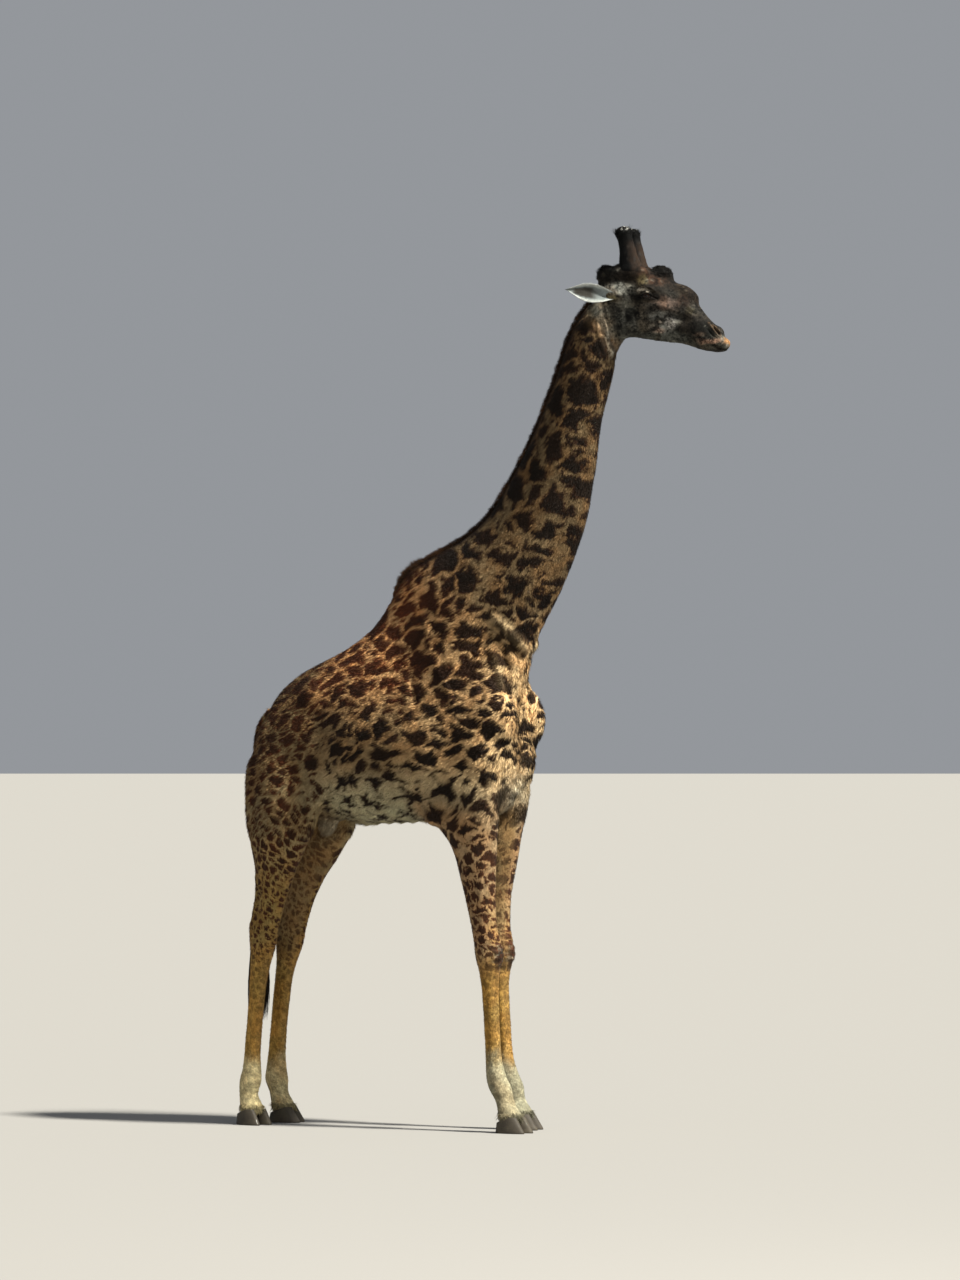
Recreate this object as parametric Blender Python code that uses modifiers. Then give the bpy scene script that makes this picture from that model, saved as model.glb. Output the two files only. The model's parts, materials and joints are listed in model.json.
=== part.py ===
"""A life-size still model of a standing bull Masai giraffe, in separate named solids.

Metres, +Z up, +X towards the head, +Y to the animal's left. The origin is on the floor, at the middle
of the bounding box. The flesh is modelled whole from lofts and muscle ellipsoids, fused and smoothed,
and then parted by flat regions. Hooves, eyes, ears, ossicones, mane and tail are their own solids.
"""

import math

import bmesh
import bpy
import numpy as np
from mathutils import Matrix, Vector

GAP = 0.0003  # clearance between neighbouring solids
VOXEL = 0.012  # cell of the remesh that fuses the flesh
FLESH_TRIANGLES = 4900
HEAD_KEPT = 0.97  # how readily the head loses faces, against 1 for the rest
HEAD_FROM_Z = 4.30
SMOOTH_ROUNDS = 8  # each round is one shrinking and one growing step
FILLET_ROUNDS = 130  # each round fills the hollow joints between lofts a little more
FILLET_FROM_Z, FILLET_FULL_Z = 0.35, 1.0  # the thin lower legs keep their hollows
ORIGIN_SHIFT_X = 0.0499  # these two bring the middle of the bounding box to x = 0, y = 0
ORIGIN_SHIFT_Y = 0.0009
HEAD_TURN = math.radians(12)  # the head looks a little to the animal's left
TURN_FROM_Z, TURN_TO_Z = 3.75, 4.50  # the neck twists between these heights
TURN_AXIS_X = 0.66


def station(at, top, under, half, low, crest, keel):
    """A named cross-section of the body or the head."""
    return dict(at=at, top=top, under=under, half=half, low=low, crest=crest, keel=keel)


def muscle(at, centre, radii, lean, height):
    """A soft-edged hill on the surface, or a hollow where height is less than 0. Lean is about the y axis."""
    return dict(at=at, centre=centre, radii=radii, lean=lean, height=height)


# The body from rump to poll. top and under are (x, z) on the midline, half is the half width, low is how
# far the widest level sits below the middle, crest and keel are the roundness of the top and underside.
BODY = [
    station("seat", (-1.415, 2.20), (-1.415, 2.02), half=0.08, low=0.0, crest=2.0, keel=2.0),
    station("tail head", (-1.375, 2.305), (-1.365, 1.90), half=0.14, low=0.0, crest=1.8, keel=2.0),
    station("croup", (-1.30, 2.43), (-1.27, 1.79), half=0.20, low=0.05, crest=1.7, keel=2.0),
    station("hips", (-1.18, 2.53), (-1.10, 1.745), half=0.255, low=0.08, crest=1.6, keel=2.0),
    station("loin", (-1.04, 2.60), (-0.90, 1.715), half=0.305, low=0.12, crest=1.6, keel=2.1),
    station("flank", (-0.90, 2.665), (-0.67, 1.695), half=0.345, low=0.16, crest=1.6, keel=2.2),
    station("barrel", (-0.79, 2.735), (-0.40, 1.705), half=0.365, low=0.18, crest=1.55, keel=2.25),
    station("ribs", (-0.71, 2.805), (-0.15, 1.725), half=0.35, low=0.20, crest=1.5, keel=2.2),
    station("back", (-0.65, 2.885), (0.06, 1.79), half=0.315, low=0.20, crest=1.45, keel=2.1),
    station("behind withers", (-0.60, 2.965), (0.17, 1.97), half=0.285, low=0.18, crest=1.4, keel=2.1),
    station("withers", (-0.55, 3.05), (0.215, 2.19), half=0.262, low=0.14, crest=1.4, keel=2.1),
    station("chest front", (-0.48, 3.12), (0.22, 2.41), half=0.24, low=0.10, crest=1.5, keel=2.0),
    station("neck root", (-0.38, 3.175), (0.25, 2.62), half=0.222, low=0.06, crest=1.6, keel=1.9),
    station("throat root", (-0.255, 3.23), (0.34, 2.81), half=0.205, low=0.04, crest=1.65, keel=1.9),
    station("low neck", (-0.125, 3.30), (0.44, 2.99), half=0.185, low=0.02, crest=1.7, keel=1.9),
    station("neck 2", (-0.005, 3.40), (0.525, 3.18), half=0.165, low=0.0, crest=1.75, keel=1.95),
    station("neck 3", (0.10, 3.54), (0.59, 3.36), half=0.15, low=0.0, crest=1.8, keel=1.95),
    station("neck 4", (0.195, 3.695), (0.63, 3.54), half=0.138, low=0.0, crest=1.8, keel=1.95),
    station("neck 5", (0.285, 3.86), (0.66, 3.72), half=0.13, low=0.0, crest=1.8, keel=2.0),
    station("neck 6", (0.362, 4.02), (0.684, 3.90), half=0.122, low=0.0, crest=1.8, keel=2.0),
    station("neck 7", (0.435, 4.19), (0.72, 4.06), half=0.114, low=0.0, crest=1.8, keel=2.0),
    station("neck 8", (0.492, 4.345), (0.754, 4.18), half=0.106, low=0.0, crest=1.8, keel=2.0),
    station("poll", (0.552, 4.47), (0.778, 4.29), half=0.098, low=0.0, crest=1.9, keel=2.0),
    station("inside head", (0.625, 4.57), (0.85, 4.41), half=0.085, low=0.0, crest=2.0, keel=2.0),
]

HEAD = [
    station("nape", (0.645, 4.62), (0.71, 4.42), half=0.075, low=0.0, crest=2.0, keel=2.0),
    station("occiput", (0.70, 4.705), (0.78, 4.365), half=0.10, low=-0.15, crest=2.2, keel=1.8),
    station("ear root", (0.80, 4.735), (0.86, 4.375), half=0.112, low=-0.2, crest=2.3, keel=1.7),
    station("brow", (0.90, 4.74), (0.935, 4.365), half=0.116, low=-0.25, crest=2.3, keel=1.7),
    station("eye", (0.99, 4.73), (1.01, 4.352), half=0.112, low=-0.25, crest=2.2, keel=1.7),
    station("face", (1.065, 4.70), (1.085, 4.343), half=0.10, low=-0.2, crest=2.0, keel=1.7),
    station("mid face", (1.13, 4.655), (1.145, 4.336), half=0.088, low=-0.15, crest=1.9, keel=1.8),
    station("nose bridge", (1.19, 4.615), (1.20, 4.32), half=0.077, low=-0.1, crest=1.9, keel=1.8),
    station("behind nostril", (1.245, 4.548), (1.25, 4.302), half=0.068, low=-0.05, crest=1.9, keel=1.9),
    station("nostril", (1.295, 4.482), (1.295, 4.292), half=0.063, low=0.0, crest=2.0, keel=2.0),
    station("muzzle", (1.342, 4.435), (1.34, 4.288), half=0.06, low=0.0, crest=2.0, keel=2.0),
    station("lips", (1.383, 4.385), (1.38, 4.286), half=0.052, low=0.0, crest=2.0, keel=2.0),
    station("lip tip", (1.413, 4.34), (1.406, 4.296), half=0.034, low=0.0, crest=2.0, keel=2.0),
]

# One leg of each kind, top to bottom: height, rear and front x, half width, and y of its middle.
FORELEG = [
    dict(at="shoulder", z=2.20, rear=-0.34, front=0.14, half=0.105, y=0.16),
    dict(at="upper arm", z=1.95, rear=-0.33, front=0.155, half=0.12, y=0.18),
    dict(at="elbow", z=1.74, rear=-0.26, front=0.145, half=0.115, y=0.18),
    dict(at="forearm", z=1.58, rear=-0.145, front=0.13, half=0.098, y=0.17),
    dict(at="mid forearm", z=1.43, rear=-0.095, front=0.12, half=0.084, y=0.165),
    dict(at="low forearm", z=1.27, rear=-0.055, front=0.118, half=0.07, y=0.16),
    dict(at="above knee", z=1.13, rear=-0.025, front=0.125, half=0.064, y=0.155),
    dict(at="knee top", z=1.04, rear=-0.012, front=0.147, half=0.071, y=0.15),
    dict(at="knee", z=0.965, rear=-0.002, front=0.155, half=0.074, y=0.15),
    dict(at="below knee", z=0.875, rear=0.022, front=0.137, half=0.060, y=0.15),
    dict(at="cannon", z=0.76, rear=0.038, front=0.133, half=0.048, y=0.15),
    dict(at="mid cannon", z=0.58, rear=0.049, front=0.139, half=0.044, y=0.148),
    dict(at="low cannon", z=0.41, rear=0.056, front=0.149, half=0.046, y=0.146),
    dict(at="above fetlock", z=0.32, rear=0.060, front=0.173, half=0.054, y=0.146),
    dict(at="fetlock", z=0.245, rear=0.076, front=0.208, half=0.062, y=0.146),
    dict(at="pastern", z=0.17, rear=0.118, front=0.222, half=0.055, y=0.146),
    dict(at="coronet", z=0.105, rear=0.132, front=0.262, half=0.068, y=0.146),
    dict(at="in the hoof", z=0.062, rear=0.148, front=0.262, half=0.062, y=0.146),
]
HINDLEG = [
    dict(at="hip", z=2.26, rear=-1.25, front=-1.02, half=0.07, y=0.12),
    dict(at="thigh", z=2.05, rear=-1.42, front=-0.98, half=0.10, y=0.165),
    dict(at="low thigh", z=1.86, rear=-1.432, front=-0.965, half=0.118, y=0.188),
    dict(at="stifle", z=1.70, rear=-1.425, front=-0.985, half=0.112, y=0.193),
    dict(at="gaskin", z=1.56, rear=-1.40, front=-1.055, half=0.098, y=0.188),
    dict(at="mid gaskin", z=1.43, rear=-1.378, front=-1.12, half=0.083, y=0.18),
    dict(at="low gaskin", z=1.30, rear=-1.38, front=-1.17, half=0.068, y=0.172),
    dict(at="above hock", z=1.18, rear=-1.398, front=-1.207, half=0.059, y=0.163),
    dict(at="hock point", z=1.10, rear=-1.415, front=-1.228, half=0.060, y=0.158),
    dict(at="hock", z=1.00, rear=-1.405, front=-1.247, half=0.062, y=0.153),
    dict(at="below hock", z=0.90, rear=-1.402, front=-1.282, half=0.053, y=0.148),
    dict(at="cannon", z=0.78, rear=-1.41, front=-1.308, half=0.044, y=0.144),
    dict(at="mid cannon", z=0.58, rear=-1.425, front=-1.328, half=0.040, y=0.14),
    dict(at="low cannon", z=0.40, rear=-1.438, front=-1.337, half=0.042, y=0.138),
    dict(at="above fetlock", z=0.31, rear=-1.448, front=-1.33, half=0.050, y=0.137),
    dict(at="fetlock", z=0.24, rear=-1.453, front=-1.316, half=0.057, y=0.136),
    dict(at="pastern", z=0.17, rear=-1.425, front=-1.312, half=0.051, y=0.136),
    dict(at="coronet", z=0.105, rear=-1.41, front=-1.275, half=0.062, y=0.136),
    dict(at="in the hoof", z=0.062, rear=-1.395, front=-1.275, half=0.056, y=0.136),
]
# How each leg stands: pairs of height and step along x, and how far the foot turns out, in degrees.
LEGS = {
    "foreleg_right": dict(rows=FORELEG, side=-1, turn_out=8, steps=[(0.0, 0.01), (0.3, 0.0), (1.8, 0.0)]),
    "foreleg_left": dict(
        rows=FORELEG,
        side=1,
        turn_out=6,
        steps=[(0.0, -0.075), (0.35, -0.075), (0.8, -0.09), (1.3, -0.07), (1.85, 0.0)],
    ),
    "hindleg_right": dict(
        rows=HINDLEG,
        side=-1,
        turn_out=22,
        steps=[
            (0.1, -0.088), (0.17, -0.078), (0.24, -0.05), (0.31, -0.035),
            (0.6, -0.028), (1.0, -0.02), (1.4, 0.0),
        ],
    ),
    "hindleg_left": dict(
        rows=HINDLEG,
        side=1,
        turn_out=10,
        steps=[
            (0.0, -0.035), (0.6, -0.023), (1.26, -0.012), (1.38, 0.005),
            (1.48, 0.03), (1.62, 0.05), (2.0, 0.0),
        ],
    ),
}
TURN_TOP = 1.80  # a leg turns out from this height down
HOOF = dict(height=0.088, heel_height=0.055, length=0.20, width=0.080, cleft=0.006, toe=0.35, slope=0.055)
LEG_CUT_Z = 1.665  # below the belly, where the legs leave the trunk
LEG_CUT_Y = 0.075  # the legs' own region starts this far from the midline, above LEG_PART_Z
LEG_PART_Z = 1.45  # below this height all that is left is leg
SHIN_CUT_Z = 0.93  # parts each leg in two

# Bony points and knobs that stand out of the lofts: centre, radii, and lean about y in degrees.
# Each is made on both sides unless its y is 0.
KNOBS = [
    dict(at="point of shoulder", centre=(0.095, 0.175, 2.29), radii=(0.155, 0.11, 0.19), lean=-18),
    dict(at="upper arm", centre=(0.048, 0.18, 2.09), radii=(0.14, 0.115, 0.27), lean=0),
    dict(at="breast", centre=(0.10, 0.075, 2.10), radii=(0.125, 0.12, 0.24), lean=0),
    dict(at="brisket", centre=(0.02, 0.0, 1.93), radii=(0.16, 0.13, 0.20), lean=20),
    dict(at="elbow", centre=(-0.215, 0.195, 1.82), radii=(0.095, 0.09, 0.14), lean=10),
    dict(at="buttock", centre=(-1.27, 0.115, 2.03), radii=(0.13, 0.12, 0.26), lean=-6),
    dict(at="stifle", centre=(-1.045, 0.21, 1.84), radii=(0.10, 0.085, 0.17), lean=14),
    dict(at="scrotum", centre=(-1.01, 0.0, 1.735), radii=(0.065, 0.068, 0.115), lean=8),
    dict(at="sheath", centre=(-0.74, 0.0, 1.725), radii=(0.11, 0.04, 0.045), lean=-6),
    dict(at="knee pad", centre=(0.115, 0.15, 0.975), radii=(0.050, 0.05, 0.075), lean=0),
    dict(at="hock point", centre=(-1.382, 0.158, 1.105), radii=(0.038, 0.034, 0.06), lean=-8),
    dict(at="nose hump", centre=(1.165, 0.0, 4.61), radii=(0.09, 0.055, 0.045), lean=32),
    dict(at="forehead knob", centre=(1.052, 0.0, 4.728), radii=(0.058, 0.052, 0.052), lean=15),
    dict(at="poll knob", centre=(0.733, 0.042, 4.714), radii=(0.058, 0.05, 0.058), lean=0),
    dict(at="ossicone base", centre=(0.870, 0.075, 4.725), radii=(0.115, 0.058, 0.062), lean=4),
    dict(at="nostril", centre=(1.335, 0.036, 4.402), radii=(0.045, 0.026, 0.036), lean=40),
    dict(at="chin", centre=(1.35, 0.0, 4.308), radii=(0.05, 0.034, 0.024), lean=0),
    dict(at="upper lip", centre=(1.388, 0.0, 4.335), radii=(0.034, 0.043, 0.032), lean=20),
]
LEG_KNOBS = {"knee pad": "foreleg", "hock point": "hindleg"}  # these stand with their leg

# Muscles and hollows of the surface, made on both sides unless their y is 0.
MUSCLES = [
    muscle("shoulder blade", (-0.24, 0.24, 2.60), (0.12, 0.30, 0.36), lean=30, height=0.022),
    muscle("in front of the shoulder", (0.06, 0.22, 2.66), (0.08, 0.25, 0.22), lean=30, height=-0.022),
    muscle("triceps", (-0.20, 0.30, 2.10), (0.17, 0.20, 0.22), lean=-25, height=0.030),
    muscle("behind the shoulder point", (-0.03, 0.28, 2.27), (0.10, 0.15, 0.15), lean=10, height=0.036),
    muscle("behind the elbow", (-0.40, 0.30, 1.92), (0.09, 0.22, 0.16), lean=15, height=-0.018),
    muscle("outer arm", (0.04, 0.28, 2.02), (0.10, 0.16, 0.20), lean=10, height=0.018),
    muscle("breast groove", (0.22, 0.0, 2.25), (0.12, 0.045, 0.24), lean=0, height=-0.030),
    muscle("ribs", (-0.55, 0.34, 2.12), (0.26, 0.25, 0.26), lean=0, height=0.012),
    muscle("flank hollow", (-0.93, 0.30, 2.20), (0.10, 0.22, 0.16), lean=15, height=-0.022),
    muscle("hip bone", (-1.02, 0.22, 2.42), (0.075, 0.16, 0.06), lean=25, height=0.022),
    muscle("haunch", (-1.20, 0.22, 2.20), (0.14, 0.20, 0.20), lean=0, height=0.020),
    muscle("thigh", (-1.22, 0.28, 1.90), (0.12, 0.18, 0.22), lean=0, height=0.018),
    muscle("thigh groove", (-1.335, 0.27, 1.85), (0.03, 0.14, 0.25), lean=-4, height=-0.010),
    muscle("gaskin", (-1.24, 0.25, 1.52), (0.08, 0.12, 0.15), lean=10, height=0.012),
    muscle("hock hollow", (-1.345, 0.20, 1.22), (0.03, 0.09, 0.10), lean=-6, height=-0.012),
    muscle("forearm", (0.02, 0.25, 1.50), (0.08, 0.12, 0.16), lean=0, height=0.012),
    muscle("neck groove", (0.48, 0.14, 3.30), (0.05, 0.12, 0.45), lean=17, height=-0.012),
    muscle("jaw angle", (0.83, 0.09, 4.45), (0.06, 0.06, 0.06), lean=-15, height=0.014),
    muscle("cheek", (0.99, 0.09, 4.44), (0.09, 0.06, 0.05), lean=10, height=0.010),
    muscle("cheek ridge", (1.08, 0.10, 4.53), (0.12, 0.05, 0.022), lean=22, height=0.010),
    muscle("temple", (0.885, 0.11, 4.62), (0.045, 0.05, 0.05), lean=0, height=-0.014),
    muscle("brow", (0.965, 0.115, 4.648), (0.06, 0.05, 0.025), lean=8, height=0.018),
    muscle("face hollow", (1.16, 0.08, 4.48), (0.08, 0.05, 0.035), lean=25, height=-0.012),
    muscle("throat latch", (0.78, 0.09, 4.38), (0.035, 0.08, 0.10), lean=20, height=-0.012),
]

EYE = dict(centre=(0.972, 0.101, 4.598), radius=0.029)
OSSICONE = dict(
    base=(0.872, 0.078, 4.745),
    tip=(0.832, 0.104, 4.972),
    bow=0.008,
    radii=[(0.0, 0.068), (0.18, 0.054), (0.45, 0.043), (0.72, 0.040), (0.88, 0.046), (1.0, 0.040)],
)
EAR = dict(root=(0.745, 0.105, 4.600), tip=(0.548, 0.235, 4.632), width=0.097, thickness=0.008, cup=0.034)
MANE = dict(first="withers", last="poll", rise=0.040, root=0.022, edge=0.007, sunk=0.02)
TAIL = dict(
    points=[(-1.36, 2.31), (-1.43, 2.22), (-1.462, 2.05), (-1.462, 1.75), (-1.455, 1.45), (-1.452, 1.22)],
    radii=[0.042, 0.038, 0.030, 0.022, 0.018, 0.016],
)
TASSEL = dict(
    points=[(-1.452, 1.22), (-1.452, 1.10), (-1.454, 0.92), (-1.456, 0.74), (-1.457, 0.60)],
    radii=[0.018, 0.036, 0.050, 0.045, 0.010],
)

SLOTS = {
    "coat": ((0.42, 0.26, 0.13), 0.85, 0.0),
    "hoof": ((0.10, 0.085, 0.07), 0.55, 0.0),
    "eye": ((0.015, 0.01, 0.008), 0.08, 0.0),
    "horn": ((0.10, 0.07, 0.05), 0.8, 0.0),
    "ear": ((0.55, 0.50, 0.44), 0.85, 0.0),
    "mane": ((0.07, 0.04, 0.025), 0.9, 0.0),
    "tassel": ((0.02, 0.016, 0.014), 0.8, 0.0),
}


def material(slot):
    """The Principled material of a slot, made once."""
    made = bpy.data.materials.get(slot)
    if made:
        return made
    colour, roughness, metallic = SLOTS[slot]
    made = bpy.data.materials.new(slot)
    made.use_nodes = True
    shader = made.node_tree.nodes["Principled BSDF"]
    shader.inputs["Base Color"].default_value = (*colour, 1.0)
    shader.inputs["Roughness"].default_value = roughness
    shader.inputs["Metallic"].default_value = metallic
    return made


def clear_scene():
    for obj in list(bpy.data.objects):
        bpy.data.objects.remove(obj)


def collection(name):
    made = bpy.data.collections.new(name)
    bpy.context.scene.collection.children.link(made)
    return made


def spline(rows, per_span):
    """A smooth curve through the rows of an array, with per_span steps between neighbours."""
    rows = np.asarray(rows, float)
    padded = np.vstack([2 * rows[0] - rows[1], rows, 2 * rows[-1] - rows[-2]])
    t = (np.arange(per_span) / per_span)[:, None]
    spans = []
    for a, b, c, d in zip(padded, padded[1:], padded[2:], padded[3:]):
        spans.append(b + 0.5 * t * (c - a + t * (2 * a - 5 * b + 4 * c - d + t * (3 * (b - c) + d - a))))
    return np.vstack([*spans, rows[-1:]])


def oval(ring, crest, keel, low):
    """A unit section: x across, y from -1 at the keel to +1 at the crest, widest at y = -low."""
    turn = np.arange(ring) / ring * 2 * math.pi
    across, up = np.sin(turn), np.cos(turn)
    power = np.where(up > 0, 2 / crest, 2 / keel)
    y = np.sign(up) * np.abs(up) ** power
    x = np.sign(across) * np.abs(across) ** (2 / np.where(up > 0, crest, keel))
    return x, np.where(y > 0, -low + y * (1 + low), -low + y * (1 - low))


def loft(name, rings):
    """A closed mesh object through rings of points, capped at both ends."""
    mesh = bpy.data.meshes.new(name)
    grid = bmesh.new()
    rows = [[grid.verts.new(point) for point in ring] for ring in rings]
    for lower, upper in zip(rows, rows[1:]):
        for i in range(len(lower)):
            j = (i + 1) % len(lower)
            grid.faces.new((lower[i], lower[j], upper[j], upper[i]))
    grid.faces.new(rows[0])
    grid.faces.new(rows[-1])
    bmesh.ops.recalc_face_normals(grid, faces=grid.faces)
    grid.to_mesh(mesh)
    grid.free()
    return bpy.data.objects.new(name, mesh)


def midline_loft(name, stations, ring, per_span):
    """The loft of BODY or HEAD: each section runs from the top rail to the under rail."""
    rows = [[*s["top"], *s["under"], s["half"], s["low"], s["crest"], s["keel"]] for s in stations]
    keys = spline(rows, per_span)
    rings = []
    for tx, tz, ux, uz, half, low, crest, keel in keys:
        across, up = oval(ring, crest, keel, low)
        share = (up + 1) / 2
        rings.append(np.column_stack([ux + (tx - ux) * share, half * across, uz + (tz - uz) * share]))
    return loft(name, rings)


def leg_pose(leg, points):
    """Steps and turns a straight leg's points, more towards the floor."""
    points = np.array(points, float)
    z = points[:, 2]
    heights, steps = np.array(leg["steps"]).T
    rows = sorted(leg["rows"], key=lambda row: row["z"])
    row_z = [row["z"] for row in rows]
    middle = np.interp(z, row_z, [(row["rear"] + row["front"]) / 2 for row in rows])
    side_y = np.interp(z, row_z, [leg["side"] * row["y"] for row in rows])
    angle = leg["side"] * math.radians(leg["turn_out"]) * np.clip(1 - z / TURN_TOP, 0, 1)
    dx, dy = points[:, 0] - middle, points[:, 1] - side_y
    points[:, 0] = middle + dx * np.cos(angle) - dy * np.sin(angle) + np.interp(z, heights, steps)
    points[:, 1] = side_y + dx * np.sin(angle) + dy * np.cos(angle)
    return points


def leg_loft(name, leg, ring, per_span):
    keys = spline([[r["z"], r["rear"], r["front"], r["half"], r["y"]] for r in leg["rows"]], per_span)
    rings = []
    for z, rear, front, half, y in keys:
        across, along = oval(ring, 2.15, 2.0, 0.0)
        share = (along + 1) / 2
        x = rear + (front - rear) * share
        flat = np.column_stack([x, leg["side"] * y + half * across, np.full(ring, z)])
        rings.append(leg_pose(leg, flat))
    return loft(name, rings)


def ellipsoid(name, centre, radii, lean, segments=20, rings=12):
    grid = bmesh.new()
    bmesh.ops.create_uvsphere(grid, u_segments=segments, v_segments=rings, radius=1.0)
    turn = Matrix.Rotation(math.radians(lean), 4, "Y")
    place = Matrix.Translation(centre) @ turn @ Matrix.Diagonal((*radii, 1))
    bmesh.ops.transform(grid, matrix=place, verts=grid.verts)
    mesh = bpy.data.meshes.new(name)
    grid.to_mesh(mesh)
    grid.free()
    return bpy.data.objects.new(name, mesh)


def coordinates(mesh):
    flat = np.empty(len(mesh.vertices) * 3)
    mesh.vertices.foreach_get("co", flat)
    return flat.reshape(-1, 3)


def set_coordinates(mesh, points):
    mesh.vertices.foreach_set("co", np.asarray(points, np.float32).ravel())
    mesh.update()


def turn_head(points):
    """Twists the upper neck and everything above it about an upright axis."""
    points = np.array(points, float)
    share = np.clip((points[:, 2] - TURN_FROM_Z) / (TURN_TO_Z - TURN_FROM_Z), 0, 1)
    angle = HEAD_TURN * share * share * (3 - 2 * share)
    axis = np.interp(points[:, 2], [TURN_FROM_Z, TURN_TO_Z], [0.47, TURN_AXIS_X])
    dx, dy = points[:, 0] - axis, points[:, 1]
    points[:, 0] = axis + dx * np.cos(angle) - dy * np.sin(angle)
    points[:, 1] = dx * np.sin(angle) + dy * np.cos(angle)
    return points


def settle(obj, pose=turn_head):
    """Puts a finished piece in the model's frame: poses it and moves it to the origin."""
    points = coordinates(obj.data)
    if pose:
        points = pose(points)
    points[:, 0] += ORIGIN_SHIFT_X
    points[:, 1] += ORIGIN_SHIFT_Y
    set_coordinates(obj.data, points)
    return obj


def evaluated_mesh(obj):
    """A new mesh holding the object as its modifiers leave it."""
    bpy.context.view_layer.update()
    graph = bpy.context.evaluated_depsgraph_get()
    return bpy.data.meshes.new_from_object(obj.evaluated_get(graph), depsgraph=graph)


def neighbour_mean(points, a, b, count):
    """For each point, the mean of the points it shares an edge with."""
    mean = np.empty_like(points)
    for axis in range(3):
        sums = np.bincount(a, points[b, axis], len(points)) + np.bincount(b, points[a, axis], len(points))
        mean[:, axis] = sums / count
    return mean


def vertex_normals(mesh):
    flat = np.empty(len(mesh.vertices) * 3)
    mesh.vertices.foreach_get("normal", flat)
    return flat.reshape(-1, 3)


def fair(mesh, rounds, fillet_rounds, shrink=0.5, grow=-0.52):
    """Fills the hollow creases between lofts, then smooths the mesh without thinning it."""
    points = coordinates(mesh)
    edges = np.empty(len(mesh.edges) * 2, np.int32)
    mesh.edges.foreach_get("vertices", edges)
    a, b = edges.reshape(-1, 2).T
    count = np.bincount(a, minlength=len(points)) + np.bincount(b, minlength=len(points))
    room = np.clip((points[:, 2] - FILLET_FROM_Z) / (FILLET_FULL_Z - FILLET_FROM_Z), 0, 1)
    room = room * np.where(points[:, 2] > 4.3, 0.45, 1.0)
    for _ in range(fillet_rounds):
        pull = neighbour_mean(points, a, b, count) - points
        normals = vertex_normals(mesh)
        lift = np.maximum(0, np.einsum("ij,ij->i", pull, normals)) * room
        points = points + lift[:, None] * normals * 0.8
        set_coordinates(mesh, points)
    for step in (shrink, grow) * rounds:
        points = points + step * (neighbour_mean(points, a, b, count) - points)
    set_coordinates(mesh, points)


def raise_muscles(mesh):
    """Moves the surface along its own normals by soft-edged hills and hollows."""
    points, normals = coordinates(mesh), vertex_normals(mesh)
    push = np.zeros(len(points))
    for muscle in MUSCLES:
        lean = math.radians(muscle["lean"])
        for side in (1, -1) if muscle["centre"][1] else (1,):
            x, y, z = (points - np.array(muscle["centre"]) * (1, side, 1)).T
            along = (x * math.cos(lean) - z * math.sin(lean)) / muscle["radii"][0]
            across = y / muscle["radii"][1]
            up = (x * math.sin(lean) + z * math.cos(lean)) / muscle["radii"][2]
            push += muscle["height"] * np.exp(-(along**2 + across**2 + up**2))
    set_coordinates(mesh, points + push[:, None] * normals)


def joined(name, objects):
    """One mesh object holding the meshes of several, which are removed."""
    grid = bmesh.new()
    for obj in objects:
        grid.from_mesh(obj.data)
        bpy.data.objects.remove(obj)
    mesh = bpy.data.meshes.new(name)
    grid.to_mesh(mesh)
    grid.free()
    return bpy.data.objects.new(name, mesh)


def make_flesh(helpers):
    """The whole animal's flesh as one closed smooth mesh."""
    parts = [
        midline_loft("body", BODY, ring=32, per_span=5),
        midline_loft("head", HEAD, ring=28, per_span=5),
    ]
    for name, leg in LEGS.items():
        parts.append(leg_loft(name, leg, ring=24, per_span=5))
    for knob in KNOBS:
        x, y, z = knob["centre"]
        for side in (1, -1) if y else (1,):
            ball = ellipsoid(knob["at"], (x, side * y, z), knob["radii"], knob["lean"])
            if knob["at"] in LEG_KNOBS:
                leg = LEGS[f"{LEG_KNOBS[knob['at']]}_{side_name(side)}"]
                set_coordinates(ball.data, leg_pose(leg, coordinates(ball.data)))
            parts.append(ball)
    whole = joined("flesh_raw", parts)
    helpers.objects.link(whole)
    remesh = whole.modifiers.new("fuse", "REMESH")
    remesh.mode = "VOXEL"
    remesh.voxel_size = VOXEL
    mesh = evaluated_mesh(whole)
    bpy.data.objects.remove(whole)
    fair(mesh, SMOOTH_ROUNDS, FILLET_ROUNDS)
    raise_muscles(mesh)
    flesh = bpy.data.objects.new("flesh", mesh)
    helpers.objects.link(flesh)
    thin = flesh.modifiers.new("fewer faces", "DECIMATE")
    thin.ratio = FLESH_TRIANGLES / (2 * len(mesh.polygons))
    thin.use_collapse_triangulate = True
    group = flesh.vertex_groups.new(name="may go")
    head = coordinates(mesh)[:, 2] > HEAD_FROM_Z
    group.add(np.flatnonzero(~head).tolist(), 1.0, "REPLACE")
    group.add(np.flatnonzero(head).tolist(), HEAD_KEPT, "REPLACE")
    thin.vertex_group = group.name
    flesh.data = evaluated_mesh(flesh)
    flesh.modifiers.clear()
    settle(flesh)
    return flesh


def inflated(flesh, helpers, by=3 * GAP):
    """A copy of the flesh, larger all round by a gap, for cutting its neighbours."""
    mesh = flesh.data.copy()
    set_coordinates(mesh, coordinates(mesh) + by * vertex_normals(mesh))
    copy = bpy.data.objects.new("flesh_cutter", mesh)
    helpers.objects.link(copy)
    return copy


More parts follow.
